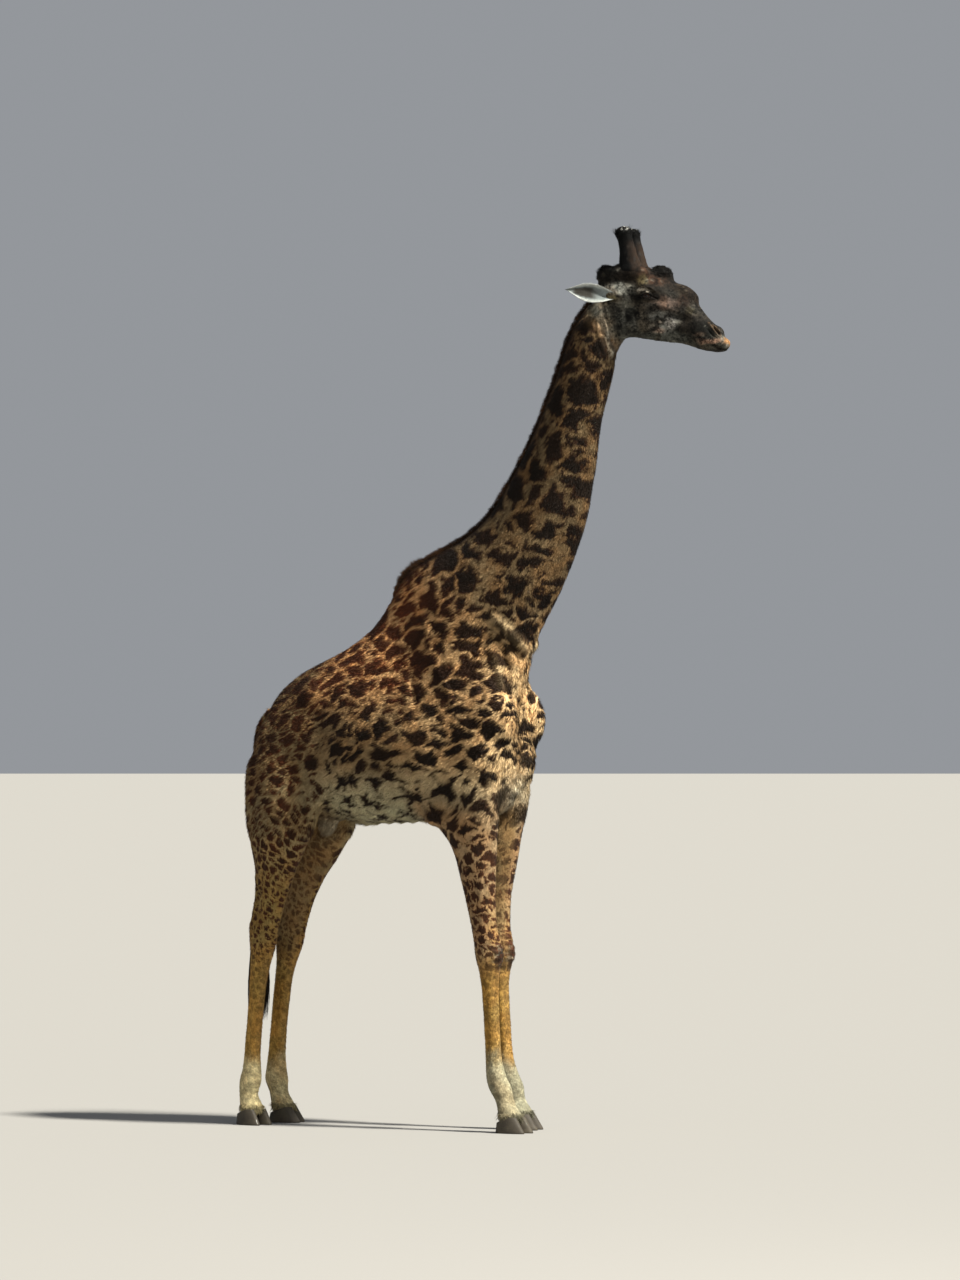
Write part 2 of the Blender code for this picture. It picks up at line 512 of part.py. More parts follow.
def prism(name, outline, along, low, high, helpers):
    """A block with a flat outline in the two axes across the one it runs along, from low to high."""
    axis = "xyz".index(along)
    grid = bmesh.new()
    ends = []
    for place in (low, high):
        corners = [list(corner) for corner in outline]
        for corner in corners:
            corner.insert(axis, place)
        ends.append([grid.verts.new(corner) for corner in corners])
    near, far = ends
    grid.faces.new(near)
    grid.faces.new(far[::-1])
    for i in range(len(near)):
        j = (i + 1) % len(near)
        grid.faces.new((near[j], near[i], far[i], far[j]))
    bmesh.ops.recalc_face_normals(grid, faces=grid.faces)
    mesh = bpy.data.meshes.new(name)
    grid.to_mesh(mesh)
    grid.free()
    block = bpy.data.objects.new(name, mesh)
    helpers.objects.link(block)
    return block


def boolean(obj, other, operation):
    step = obj.modifiers.new(f"{operation.lower()} {other.name}", "BOOLEAN")
    step.operation = operation
    step.object = other
    step.solver = "EXACT"


def half_plane(start, end, side, gap, reach=6.0):
    """The corners of a big block on one side of the line from start to end, kept a gap from it."""
    start, end = Vector(start), Vector(end)
    along = (end - start).normalized()
    out = Vector((-along.y, along.x)) * side
    near_a, near_b = start - along * reach + out * gap, end + along * reach + out * gap
    return [tuple(p) for p in (near_a, near_b, near_b + out * reach, near_a + out * reach)]


def leg_block(name, side, span, inset, helpers):
    """The block one leg's flesh lies in, drawn in by an inset. It keeps clear of the groin near the top."""
    bottom, top = span[0] + inset, span[1] - inset
    inner, groin, outer = GAP + inset, LEG_CUT_Y + inset, 1.2
    step = min(LEG_PART_Z, top)
    outline = [(outer, bottom), (outer, top), (groin, top), (groin, step), (inner, step), (inner, bottom)]
    if top <= LEG_PART_Z:
        outline = [(outer, bottom), (outer, top), (inner, top), (inner, bottom)]
    ends = (-0.75, 1.0) if "fore" in name else (-2.2, -0.75)
    return prism(name, [(side * y, z) for y, z in outline], "x", *ends, helpers)


def make_flesh_nodes(flesh, parts, helpers):
    """Parts the flesh into head, neck, trunk and legs with flat cuts."""
    shift = Vector((ORIGIN_SHIFT_X, 0))
    poll = [Vector(p) + shift for p in ((0.56, 4.575), (0.83, 4.275))]
    middle = [Vector(p) + shift for p in ((0.14, 3.78), (0.72, 3.58))]
    base = [Vector(p) + shift for p in ((-0.47, 3.25), (0.32, 2.58))]
    wide = 1.2
    cuts = {
        "above poll": (poll, 1),
        "below poll": (poll, -1),
        "above middle": (middle, 1),
        "below middle": (middle, -1),
        "above base": (base, 1),
        "below base": (base, -1),
    }
    blocks = {
        name: prism(name, half_plane(*line, side, GAP / 2), "y", -wide, wide, helpers)
        for name, (line, side) in cuts.items()
    }
    keeps = {
        "head": ["above poll"],
        "neck_upper": ["below poll", "above middle"],
        "neck_lower": ["below middle", "above base"],
    }
    nodes = []
    for name, regions in keeps.items():
        node = bpy.data.objects.new(name, flesh.data.copy())
        for region in regions:
            boolean(node, blocks[region], "INTERSECT")
        nodes.append(node)
    trunk = bpy.data.objects.new("trunk", flesh.data.copy())
    boolean(trunk, blocks["below base"], "INTERSECT")
    nodes.append(trunk)
    for name, leg in LEGS.items():
        away = leg_block(f"{name} region", leg["side"], (-0.5, LEG_CUT_Z), 0.0, helpers)
        boolean(trunk, away, "DIFFERENCE")
        for part, span in (("upper", (SHIN_CUT_Z, LEG_CUT_Z)), ("lower", (-0.5, SHIN_CUT_Z))):
            region = leg_block(f"{name} {part}", leg["side"], span, GAP, helpers)
            node = bpy.data.objects.new(f"{name}_{part}", flesh.data.copy())
            boolean(node, region, "INTERSECT")
            nodes.append(node)
    for node in nodes:
        node.data.materials.clear()
        node.data.materials.append(material("coat"))
        parts.objects.link(node)
    return {node.name: node for node in nodes}


def tube(name, path, radii, ring, flatten=1.0):
    """A closed tube along points in space, with a radius at each."""
    path = [Vector([float(c) for c in p]) for p in path]
    rings = []
    for i, point in enumerate(path):
        along = (path[min(i + 1, len(path) - 1)] - path[max(i - 1, 0)]).normalized()
        across = along.cross(Vector((0, 1, 0)))
        if across.length < 0.1:
            across = along.cross(Vector((1, 0, 0)))
        across.normalize()
        side = along.cross(across).normalized()
        turns = [2 * math.pi * k / ring for k in range(ring)]
        wide, deep = across * float(radii[i]), side * float(radii[i]) * flatten
        rings.append([point + wide * math.cos(t) + deep * math.sin(t) for t in turns])
    return loft(name, rings)


def claw_rings(leg, foot, inner):
    """Levels of one claw, from the sole up: rounded blocks that narrow to the toe and lean back from it."""
    levels, count = 3, 12
    middle = (foot["front"] + foot["rear"]) / 2
    rings = []
    for level in range(levels):
        up = level / (levels - 1)
        toe = middle + HOOF["length"] / 2 + 0.022 - HOOF["slope"] * up
        heel = middle - HOOF["length"] / 2 + 0.034 + 0.010 * up
        half = HOOF["width"] / 2 * (1.0 - 0.10 * up)
        ring = []
        for k in range(count):
            t = 2 * math.pi * k / count
            forward = (math.cos(t) + 1) / 2
            x = heel + (toe - heel) * forward
            y = half * math.copysign(abs(math.sin(t)) ** 0.75, math.sin(t)) * (1 - HOOF["toe"] * forward**3)
            y += inner * (HOOF["width"] + HOOF["cleft"]) / 2 + leg["side"] * foot["y"]
            top = HOOF["heel_height"] + (HOOF["height"] - HOOF["heel_height"]) * min(1, forward * 1.3)
            ring.append((x, y, top * up))
        rings.append(leg_pose(leg, np.array(ring)))
    return rings


def make_claws(parts, cutter):
    """Two claws to a foot, each its own solid, with the flesh of the foot cut from it."""
    for leg_name, leg in LEGS.items():
        foot = leg["rows"][-2]
        for claw, inner in (("left", 1), ("right", -1)):
            block = loft(f"hoof_{leg_name.replace('leg_', '_')}_{claw}_claw", claw_rings(leg, foot, inner))
            settle(block, pose=None)
            boolean(block, cutter, "DIFFERENCE")
            block.data.materials.append(material("hoof"))
            parts.objects.link(block)


def side_name(side):
    return "left" if side > 0 else "right"


def make_eyes(head, parts, helpers):
    for side in (1, -1):
        x, y, z = EYE["centre"]
        for radius, wanted in ((EYE["radius"], True), (EYE["radius"] + GAP, False)):
            name = f"eye_{side_name(side)}" if wanted else f"eye_socket_{side_name(side)}"
            ball = ellipsoid(name, (x, side * y, z), (radius,) * 3, 0, segments=12, rings=8)
            settle(ball)
            ball.data.materials.append(material("eye"))
            (parts if wanted else helpers).objects.link(ball)
            if not wanted:
                boolean(head, ball, "DIFFERENCE")


def make_ossicones(parts, cutter):
    base, tip = Vector(OSSICONE["base"]), Vector(OSSICONE["tip"])
    for side in (1, -1):
        path, radii = [], []
        for share, radius in OSSICONE["radii"]:
            point = base.lerp(tip, share)
            point.x += OSSICONE["bow"] * math.sin(math.pi * share)
            path.append((point.x, side * point.y, point.z))
            radii.append(radius)
        path.append((tip.x, side * tip.y, tip.z + 0.012))
        radii.append(0.018)
        path.insert(0, (base.x, side * base.y * 0.9, base.z - 0.03))
        radii.insert(0, 0.045)
        horn = tube(f"ossicone_{side_name(side)}", path, radii, 12, flatten=0.8)
        settle(horn)
        boolean(horn, cutter, "DIFFERENCE")
        horn.data.materials.append(material("horn"))
        parts.objects.link(horn)


def make_ears(parts, cutter):
    """A leaf from root to tip, cupped forwards, with a wall of even thickness."""
    root, tip = Vector(EAR["root"]), Vector(EAR["tip"])
    lengths, widths = 8, 5
    for side in (1, -1):
        start = Vector((root.x, side * root.y, root.z))
        end = Vector((tip.x, side * tip.y, tip.z))
        along = (end - start).normalized()
        up = Vector((0, 0, 1)) - along * along.z
        up.normalize()
        facing = along.cross(up).normalized()
        if facing.y * side < 0:
            facing = -facing
        grid = bmesh.new()
        rows = []
        for i in range(lengths):
            t = i / (lengths - 1)
            belly = 0.42 + 0.75 * math.sin(math.pi * min(1, t * 0.95 + 0.18)) ** 0.8
            half = EAR["width"] / 2 * belly * (1 - t**6 * 0.9)
            row = []
            for j in range(widths):
                s = 2 * j / (widths - 1) - 1
                point = start.lerp(end, t) + up * (s * half)
                point += facing * (EAR["cup"] * (1 - t * 0.8) * (s * s - 0.5))
                row.append(grid.verts.new(point))
            rows.append(row)
        for a, b in zip(rows, rows[1:]):
            for j in range(widths - 1):
                grid.faces.new((a[j], a[j + 1], b[j + 1], b[j]))
        mesh = bpy.data.meshes.new(f"ear_{side_name(side)}")
        grid.to_mesh(mesh)
        grid.free()
        ear = bpy.data.objects.new(mesh.name, mesh)
        settle(ear)
        wall = ear.modifiers.new("wall", "SOLIDIFY")
        wall.thickness = EAR["thickness"]
        wall.offset = 0
        boolean(ear, cutter, "DIFFERENCE")
        ear.data.materials.append(material("ear"))
        parts.objects.link(ear)


def make_mane(parts, cutter):
    """A thin upright fin along the crest of the neck, parted where the neck is."""
    names = [s["at"] for s in BODY]
    run = BODY[names.index(MANE["first"]) : names.index(MANE["last"]) + 2]
    crest = spline([s["top"] for s in run], 1)
    ahead = np.gradient(crest, axis=0)
    ahead /= np.linalg.norm(ahead, axis=1)[:, None]
    up = np.column_stack([-ahead[:, 1], ahead[:, 0]])
    rings = []
    for i, (point, out) in enumerate(zip(crest, up)):
        share = i / (len(crest) - 1)
        fade = min(1.0, 0.25 + 4 * share, 0.35 + 5 * (1 - share))
        low = point - out * MANE["sunk"]
        high = point + out * MANE["rise"] * fade
        mid = point + out * MANE["rise"] * fade * 0.5
        root, edge = MANE["root"] / 2, MANE["edge"] / 2
        rings.append(
            [
                (low[0], -root, low[1]),
                (mid[0], -(root + edge) / 2, mid[1]),
                (high[0], -edge, high[1]),
                (high[0], edge, high[1]),
                (mid[0], (root + edge) / 2, mid[1]),
                (low[0], root, low[1]),
            ]
        )
    fin = settle(loft("mane", rings))
    boolean(fin, cutter, "DIFFERENCE")
    fin.data.materials.append(material("mane"))
    parts.objects.link(fin)


def make_tail(parts, cutter):
    """The tail hangs from the rump; its tassel of long hair is a solid of its own."""
    line = spline(np.column_stack([TAIL["points"], TAIL["radii"]]), 2)
    line[-1, 1] += GAP
    dock = tube("tail", [(x, 0, z) for x, z, _ in line], line[:, 2], 10)
    settle(dock, pose=None)
    boolean(dock, cutter, "DIFFERENCE")
    dock.data.materials.append(material("coat"))
    parts.objects.link(dock)
    line = spline(np.column_stack([TASSEL["points"], TASSEL["radii"]]), 2)
    tuft = tube("tail_tassel", [(x, 0, z) for x, z, _ in line], line[:, 2], 12)
    settle(tuft, pose=None)
    tuft.data.materials.append(material("tassel"))
    parts.objects.link(tuft)


def main():
    clear_scene()
    parts = collection("giraffe")
    helpers = collection("cutters")
    flesh = make_flesh(helpers)
    cutter = inflated(flesh, helpers)
    nodes = make_flesh_nodes(flesh, parts, helpers)
    make_claws(parts, cutter)
    make_eyes(nodes["head"], parts, helpers)
    make_ossicones(parts, cutter)
    make_ears(parts, cutter)
    make_mane(parts, cutter)
    make_tail(parts, cutter)
    for helper in helpers.objects:
        helper.hide_render = True
        helper.display_type = "WIRE"


main()
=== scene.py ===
# A life-size still model of a bull Masai giraffe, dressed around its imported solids.
# Metres, +Z up, +X towards the head, +Y to the animal's left. Everything is modelled in a straight-headed
# frame first; pose() then turns the head and brings the model to its place on the floor.

import json
import math

import bmesh
import bpy
import numpy as np
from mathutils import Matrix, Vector

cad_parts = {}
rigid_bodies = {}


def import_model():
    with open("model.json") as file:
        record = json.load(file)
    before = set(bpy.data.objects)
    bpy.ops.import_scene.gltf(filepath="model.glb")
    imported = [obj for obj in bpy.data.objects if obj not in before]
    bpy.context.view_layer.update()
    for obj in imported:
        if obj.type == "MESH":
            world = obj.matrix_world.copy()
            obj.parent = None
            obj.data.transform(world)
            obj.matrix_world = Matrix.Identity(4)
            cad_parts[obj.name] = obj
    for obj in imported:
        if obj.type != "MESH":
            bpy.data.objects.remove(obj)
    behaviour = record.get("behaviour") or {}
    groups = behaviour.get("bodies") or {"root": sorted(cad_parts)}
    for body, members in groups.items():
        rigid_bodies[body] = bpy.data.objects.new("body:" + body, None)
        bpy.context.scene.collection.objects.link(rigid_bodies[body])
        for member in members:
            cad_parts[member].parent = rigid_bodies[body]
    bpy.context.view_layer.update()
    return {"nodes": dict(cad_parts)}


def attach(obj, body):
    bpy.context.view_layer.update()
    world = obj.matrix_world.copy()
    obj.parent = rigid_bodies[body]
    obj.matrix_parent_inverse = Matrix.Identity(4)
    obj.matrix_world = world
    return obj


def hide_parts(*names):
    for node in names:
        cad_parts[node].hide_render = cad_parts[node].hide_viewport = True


for thing in list(bpy.data.objects):
    bpy.data.objects.remove(thing)

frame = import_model()
rng = np.random.default_rng(7)
draw, norm = rng.uniform, np.linalg.norm  # numbers between two values, and the length of a vector
sides = {1: "left", -1: "right"}
print("frame loaded:", len(frame["nodes"]), "nodes")


# small tools
def ramp(value, low, high):
    # 0 below low, 1 above high, and a smooth step between: 3tt - 2ttt
    t = np.clip((value - low) / (high - low), 0, 1)
    return t * t * (3 - 2 * t)


def fall(value, low, high):
    # 1 below low, 0 above high
    return 1 - ramp(value, low, high)


def joined(*parts):
    # arrays side by side along a new last axis, as points from x, y and z
    return np.stack(parts, axis=-1)


def ontoLeft(points):
    # points with their mirror images on the right brought to the left side
    return np.where([False, True, False], np.abs(points), points)


def unit(vectors):
    # each row divided by its length
    return vectors / np.maximum(norm(vectors, axis=-1, keepdims=True), 1e-9)


def throughRows(rows, perSpan):
    # Catmull-Rom: b + t/2 (c - a + t (2a - 5b + 4c - d + t (3 (b - c) + d - a))) between rows b and c
    rows = np.asarray(rows, float)
    padded = np.vstack([2 * rows[0] - rows[1], rows, 2 * rows[-1] - rows[-2]])
    a, b, c, d = (padded[k : k + len(rows) - 1, None] for k in range(4))
    t = (np.arange(perSpan) / perSpan)[None, :, None]
    spans = b + 0.5 * t * (c - a + t * (2 * a - 5 * b + 4 * c - d + t * (3 * (b - c) + d - a)))
    return np.vstack([spans.reshape(-1, rows.shape[1]), rows[-1:]])


def lumps(points, size, seed, octaves=2):
    # value noise from -1 to 1: hashed corners of a cubic lattice, blended smoothly and summed by octave
    total, share = 0, 0
    for octave in range(octaves):
        p = points / (size * 0.5**octave) + 31.7 * (octave + 1)
        cell = np.floor(p).astype(np.int64)
        t = p - cell
        t = t * t * (3 - 2 * t)
        value = 0
        for corner in range(8):
            off = np.array([corner & 1, corner >> 1 & 1, corner >> 2 & 1])
            key = (cell + off) @ np.array([73856093, 19349663, 83492791]) + seed * 2654435
            key = (key ^ (key >> 13)) * 1274126177 & 0x7FFFFFFF
            corners = (key ^ (key >> 16)) % 65536 / 32767.5 - 1
            value = value + corners * np.prod(np.where(off, t, 1 - t), axis=1)
        total = total + value * 0.6**octave
        share += 0.6**octave
    return total / share


def pointsOf(mesh, key="co"):
    # one row of three numbers for each vertex
    flat = np.empty(len(mesh.vertices) * 3)
    mesh.vertices.foreach_get(key, flat)
    return flat.reshape(-1, 3)


def normalsOf(mesh):
    return pointsOf(mesh, "normal")


def setPoints(mesh, points):
    mesh.vertices.foreach_set("co", np.asarray(points, np.float32).ravel())
    mesh.update()


def gridFaces(rows, ring, start=0):
    # the quads between neighbouring rows of a grid whose rows are closed rings, and the two end caps
    i, j = np.meshgrid(np.arange(rows - 1), np.arange(ring), indexing="ij")
    k = (j + 1) % ring
    quads = joined(i * ring + j, i * ring + k, (i + 1) * ring + k, (i + 1) * ring + j)
    quads = quads.reshape(-1, 4) + start
    first = (np.arange(ring)[::-1] + start).tolist()
    last = (np.arange(ring) + (rows - 1) * ring + start).tolist()
    return quads.tolist() + [first, last]


def volumeOf(points):
    # six times the signed volume of a closed grid, from each quad's corners about the middle
    p = (points - points.mean(axis=(0, 1))).astype(float)
    a, b = p[:-1], np.roll(p, -1, axis=1)[:-1]
    c, d = np.roll(p, -1, axis=1)[1:], p[1:]
    return np.sum(a * np.cross(b, c)) + np.sum(a * np.cross(c, d))


def outwards(points):
    # a closed grid with its rings turned over where its faces would point inwards
    return points[:, ::-1] if volumeOf(points) < 0 else points


def sceneObject(name, data):
    made = bpy.data.objects.new(name, data)
    bpy.context.scene.collection.objects.link(made)
    return made


def meshObject(name, points, faces):
    mesh = bpy.data.meshes.new(name)
    mesh.from_pydata(np.asarray(points, float).reshape(-1, 3).tolist(), [], faces)
    mesh.update()
    mesh.shade_smooth()
    return sceneObject(name, mesh)


def gridObject(name, grids):
    # one object from several closed grids of shape (rows, ring, 3)
    points, faces, start = [], [], 0
    for grid in grids:
        grid = outwards(np.asarray(grid, float))
        points.append(grid.reshape(-1, 3))
        faces += gridFaces(grid.shape[0], grid.shape[1], start)
        start += grid.shape[0] * grid.shape[1]
    return meshObject(name, np.vstack(points), faces)


def addAttribute(mesh, name, values):
    # one float, vector or colour for each vertex, chosen by how many columns the values have
    values = np.asarray(values, np.float32)
    columns = 1 if values.ndim == 1 else values.shape[1]
    kinds = {1: ("FLOAT", "value"), 3: ("FLOAT_VECTOR", "vector"), 4: ("FLOAT_COLOR", "color")}
    kind, key = kinds[columns]
    mesh.attributes.new(name, kind, "POINT").data.foreach_set(key, values.ravel())


def opaque(colours):
    # colours with a fourth column of ones
    return np.hstack([colours, np.ones((len(colours), 1))])


def evaluatedMesh(obj):
    # a copy of the mesh with its modifiers applied
    bpy.context.view_layer.update()
    graph = bpy.context.evaluated_depsgraph_get()
    return bpy.data.meshes.new_from_object(obj.evaluated_get(graph), depsgraph=graph)


def settle(obj, material, slotName, *nodes):
    # every piece rides on the one body, stands for its solids and takes the given finish
    obj.data.materials.append(material)
    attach(obj, "root")
    if nodes:
        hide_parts(*nodes)
    return obj


# the measures of the animal
placing = dict(
    shift=(0.0499, 0.0009, 0),
    headTurn=math.radians(12),  # the head looks a little to its left
    turnFromZ=3.75,
    turnToZ=4.5,
    turnAxisX=(0.47, 0.66),
)


def stations(text):
    # each row: top x z, under x z, half width, how far the widest level sits low, crest and keel roundness
    return np.array([[float(v) for v in row.split()] for row in text.strip().splitlines()])


def readRows(text):
    # "name: sizes: row, row;" as (name, leg, sizes, rows), where "@" names the leg that a detail stands with;
    # numbers are thousandths, so lengths are in millimetres, but for those in degrees
    def number(word):
        return math.radians(float(word[:-3])) if word.endswith("deg") else float(word + "e-3")

    entries = []
    for entry in text.split(";"):
        name, sizes, rows = entry.split(":")
        name, _, leg = (word.strip() for word in name.partition("@"))
        sizes, *rows = ([number(word) for word in row.split()] for row in (sizes, *rows.split(",")))
        entries.append((name, leg, sizes, np.array(rows)))
    return entries


bodyRows = stations("""
-1.415 2.2 -1.415 2.02 0.08 0 2 2
-1.375 2.305 -1.365 1.9 0.14 0 1.8 2
-1.3 2.43 -1.27 1.79 0.2 0.05 1.7 2
-1.18 2.53 -1.1 1.745 0.255 0.08 1.6 2
-1.04 2.6 -0.9 1.715 0.305 0.12 1.6 2.1
-0.9 2.665 -0.67 1.695 0.345 0.16 1.6 2.2
-0.79 2.735 -0.4 1.705 0.365 0.18 1.55 2.25
-0.71 2.805 -0.15 1.725 0.35 0.2 1.5 2.2
-0.65 2.885 0.06 1.79 0.315 0.2 1.45 2.1
-0.6 2.965 0.17 1.97 0.285 0.18 1.4 2.1
-0.55 3.05 0.215 2.19 0.262 0.14 1.4 2.1
-0.48 3.12 0.22 2.41 0.24 0.1 1.5 2
-0.38 3.175 0.25 2.62 0.222 0.06 1.6 1.9
-0.255 3.23 0.34 2.81 0.205 0.04 1.65 1.9
-0.125 3.3 0.44 2.99 0.185 0.02 1.7 1.9
-0.005 3.4 0.525 3.18 0.165 0 1.75 1.95
0.1 3.54 0.59 3.36 0.15 0 1.8 1.95
0.195 3.695 0.63 3.54 0.138 0 1.8 1.95
0.285 3.86 0.66 3.72 0.13 0 1.8 2
0.362 4.02 0.684 3.9 0.122 0 1.8 2
0.435 4.19 0.72 4.06 0.114 0 1.8 2
0.492 4.345 0.754 4.18 0.106 0 1.8 2
0.552 4.47 0.778 4.29 0.098 0 1.9 2
0.625 4.57 0.85 4.41 0.085 0 2 2
""")
headRows = stations("""
0.645 4.62 0.71 4.42 0.075 0 2 2
0.7 4.705 0.78 4.365 0.1 -0.15 2.2 1.8
0.8 4.735 0.86 4.375 0.112 -0.2 2.3 1.7
0.9 4.74 0.935 4.365 0.116 -0.25 2.3 1.7
0.99 4.73 1.01 4.352 0.112 -0.25 2.2 1.7
1.065 4.7 1.085 4.343 0.1 -0.2 2 1.7
1.13 4.655 1.145 4.336 0.088 -0.15 1.9 1.8
1.19 4.615 1.2 4.32 0.077 -0.1 1.9 1.8
1.245 4.548 1.25 4.302 0.068 -0.05 1.9 1.9
1.295 4.482 1.295 4.292 0.063 0 2 2
1.342 4.435 1.34 4.288 0.06 0 2 2
1.383 4.385 1.38 4.286 0.052 0 2 2
1.413 4.34 1.406 4.296 0.034 0 2 2
""")
# a leg's rows, top to bottom: height, rear x, front x, half width, y of the middle
forelegRows = stations("""
2.2 -0.34 0.14 0.105 0.16
1.95 -0.33 0.155 0.12 0.18
1.74 -0.26 0.145 0.115 0.18
1.58 -0.145 0.13 0.098 0.17
1.43 -0.095 0.12 0.084 0.165
1.27 -0.055 0.118 0.07 0.16
1.13 -0.025 0.125 0.064 0.155
1.04 -0.012 0.147 0.071 0.15
0.965 -0.002 0.155 0.074 0.15
0.875 0.022 0.137 0.06 0.15
0.76 0.038 0.133 0.048 0.15
0.58 0.049 0.139 0.044 0.148
0.41 0.056 0.149 0.046 0.146
0.32 0.06 0.173 0.054 0.146
0.245 0.076 0.208 0.062 0.146
0.17 0.118 0.222 0.055 0.146
0.105 0.132 0.262 0.068 0.146
0.062 0.148 0.262 0.062 0.146
""")
hindlegRows = stations("""
2.26 -1.25 -1.02 0.07 0.12
2.05 -1.42 -0.98 0.1 0.165
1.86 -1.432 -0.965 0.118 0.188
1.7 -1.425 -0.985 0.112 0.193
1.56 -1.4 -1.055 0.098 0.188
1.43 -1.378 -1.12 0.083 0.18
1.3 -1.38 -1.17 0.068 0.172
1.18 -1.398 -1.207 0.059 0.163
1.1 -1.415 -1.228 0.06 0.158
1 -1.405 -1.247 0.062 0.153
0.9 -1.402 -1.282 0.053 0.148
0.78 -1.41 -1.308 0.044 0.144
0.58 -1.425 -1.328 0.04 0.14
0.4 -1.438 -1.337 0.042 0.138
0.31 -1.448 -1.33 0.05 0.137
0.24 -1.453 -1.316 0.057 0.136
0.17 -1.425 -1.312 0.051 0.136
0.105 -1.41 -1.275 0.062 0.136
0.062 -1.395 -1.275 0.056 0.136
""")
turnTop = 1.8  # a leg turns out from this height down
legs = {
    "fore_right": dict(rows=forelegRows, side=-1, turnOut=8, steps=[(0, 0.01), (0.3, 0), (1.8, 0)]),
    "fore_left": dict(rows=forelegRows, side=1, turnOut=6, steps=[
        (0, -0.075), (0.35, -0.075), (0.8, -0.09), (1.3, -0.07), (1.85, 0)]),
    "hind_right": dict(rows=hindlegRows, side=-1, turnOut=22, steps=[
        (0.1, -0.088), (0.17, -0.078), (0.24, -0.05), (0.31, -0.035), (0.6, -0.028), (1, -0.02), (1.4, 0)]),
    "hind_left": dict(rows=hindlegRows, side=1, turnOut=10, steps=[
        (0, -0.035), (0.6, -0.023), (1.26, -0.012), (1.38, 0.005), (1.48, 0.03), (1.62, 0.05), (2, 0)]),
}


def legOn(kind, side):
    return legs[f"{kind}_{sides[side]}"]


def mirrored(y):
    # the sides a detail stands on: both, unless it lies in the middle
    return (1, -1) if y else (1,)


def turned(u, v, angle):
    # a flat vector (u, v) turned by an angle: (u cos - v sin, u sin + v cos)
    return u * np.cos(angle) - v * np.sin(angle), u * np.sin(angle) + v * np.cos(angle)


# bony points and knobs: lean about y; centre on the left side, radii
knobs = readRows("""
point of shoulder: -18deg: 95 175 2290, 155 110 190;
upper arm: 0deg: 48 180 2090, 140 115 270;
breast: 0deg: 100 75 2100, 125 120 240;
brisket: 20deg: 20 0 1930, 160 130 200;
elbow: 10deg: -215 195 1820, 95 90 140;
buttock: -6deg: -1270 115 2030, 130 120 260;
stifle: 14deg: -1045 210 1840, 100 85 170;
scrotum: 8deg: -1010 0 1735, 65 68 115;
sheath: -6deg: -740 0 1725, 110 40 45;
knee pad @fore: 0deg: 115 150 975, 50 50 75;
hock point @hind: -8deg: -1382 158 1105, 38 34 60;
nose hump: 32deg: 1165 0 4610, 90 55 45;
forehead knob: 22deg: 1036 0 4714, 68 54 50;
poll knob: 0deg: 733 42 4714, 58 50 58;
ossicone base: 4deg: 870 75 4725, 115 58 62;
nostril: 40deg: 1335 36 4402, 45 26 36;
chin: 0deg: 1350 0 4308, 50 34 24;
upper lip: 20deg: 1388 0 4335, 34 43 32
""")
# soft-edged hills, or hollows where the height is less than 0: lean and height; centre, radii
muscles = readRows("""
shoulder blade: 30deg 22: -240 240 2600, 120 300 360;
before the shoulder: 30deg -22: 60 220 2660, 80 250 220;
triceps: -25deg 30: -200 300 2100, 170 200 220;
behind the shoulder point: 10deg 36: -30 280 2270, 100 150 150;
behind the elbow: 15deg -18: -400 300 1920, 90 220 160;
outer arm: 10deg 18: 40 280 2020, 100 160 200;
breast groove: 0deg -30: 220 0 2250, 120 45 240;
ribs: 0deg 12: -550 340 2120, 260 250 260;
flank hollow: 15deg -22: -930 300 2200, 100 220 160;
hip bone: 25deg 22: -1020 220 2420, 75 160 60;
haunch: 0deg 20: -1200 220 2200, 140 200 200;
thigh: 0deg 18: -1220 280 1900, 120 180 220;
thigh groove: -4deg -10: -1335 270 1850, 30 140 250;
gaskin: 10deg 12: -1240 250 1520, 80 120 150;
hock hollow: -6deg -12: -1345 200 1220, 30 90 100;
forearm: 0deg 12: 20 250 1500, 80 120 160;
neck groove: 17deg -12: 480 140 3300, 50 120 450;
jaw angle: -15deg 14: 830 90 4450, 60 60 60;
cheek: 10deg 10: 990 90 4440, 90 60 50;
cheek ridge: 22deg 10: 1080 100 4530, 120 50 22;
temple: 0deg -14: 885 110 4620, 45 50 50;
brow: 8deg 18: 965 115 4648, 60 50 25;
face hollow: 25deg -12: 1160 80 4480, 80 50 35;
throat latch: 20deg -12: 780 90 4380, 35 80 100
""")


def sections(ring, crest, keel, low):
    # superellipse halves: up = sign(cos t) |cos t|^(2/n), across = sign(sin t) |sin t|^(2/n), set low or high
    turn = np.arange(ring)[None] / ring * math.tau
    across, up = np.sin(turn), np.cos(turn)
    power = 2 / np.where(up > 0, crest, keel)
    y = np.sign(up) * np.abs(up) ** power
    x = np.sign(across) * np.abs(across) ** power
    return x, np.where(y > 0, -low + y * (1 + low), -low + y * (1 - low))


def railLoft(rows, ring, perSpan):
    # each section spans from the under rail to the top rail; half the width across
    keys = throughRows(rows, perSpan)
    tx, tz, ux, uz, half, low, crest, keel = keys.T[:, :, None]
    across, up = sections(ring, crest, keel, low)
    share = (up + 1) / 2
    return joined(ux + (tx - ux) * share, half * across, uz + (tz - uz) * share)


def poseLeg(leg, points):
    # steps a straight leg along x and turns it out about its own middle, more towards the floor
    points = np.array(points, float)
    x, y, z = points[..., 0], points[..., 1], points[..., 2]
    rows = leg["rows"][::-1]
    middle = np.interp(z, rows[:, 0], (rows[:, 1] + rows[:, 2]) / 2)
    sideY = np.interp(z, rows[:, 0], leg["side"] * rows[:, 4])
    angle = leg["side"] * math.radians(leg["turnOut"]) * np.clip(1 - z / turnTop, 0, 1)
    dx, dy = turned(x - middle, y - sideY, angle)
    heights, steps = np.array(leg["steps"], float).T
    return joined(middle + dx + np.interp(z, heights, steps), sideY + dy, z)


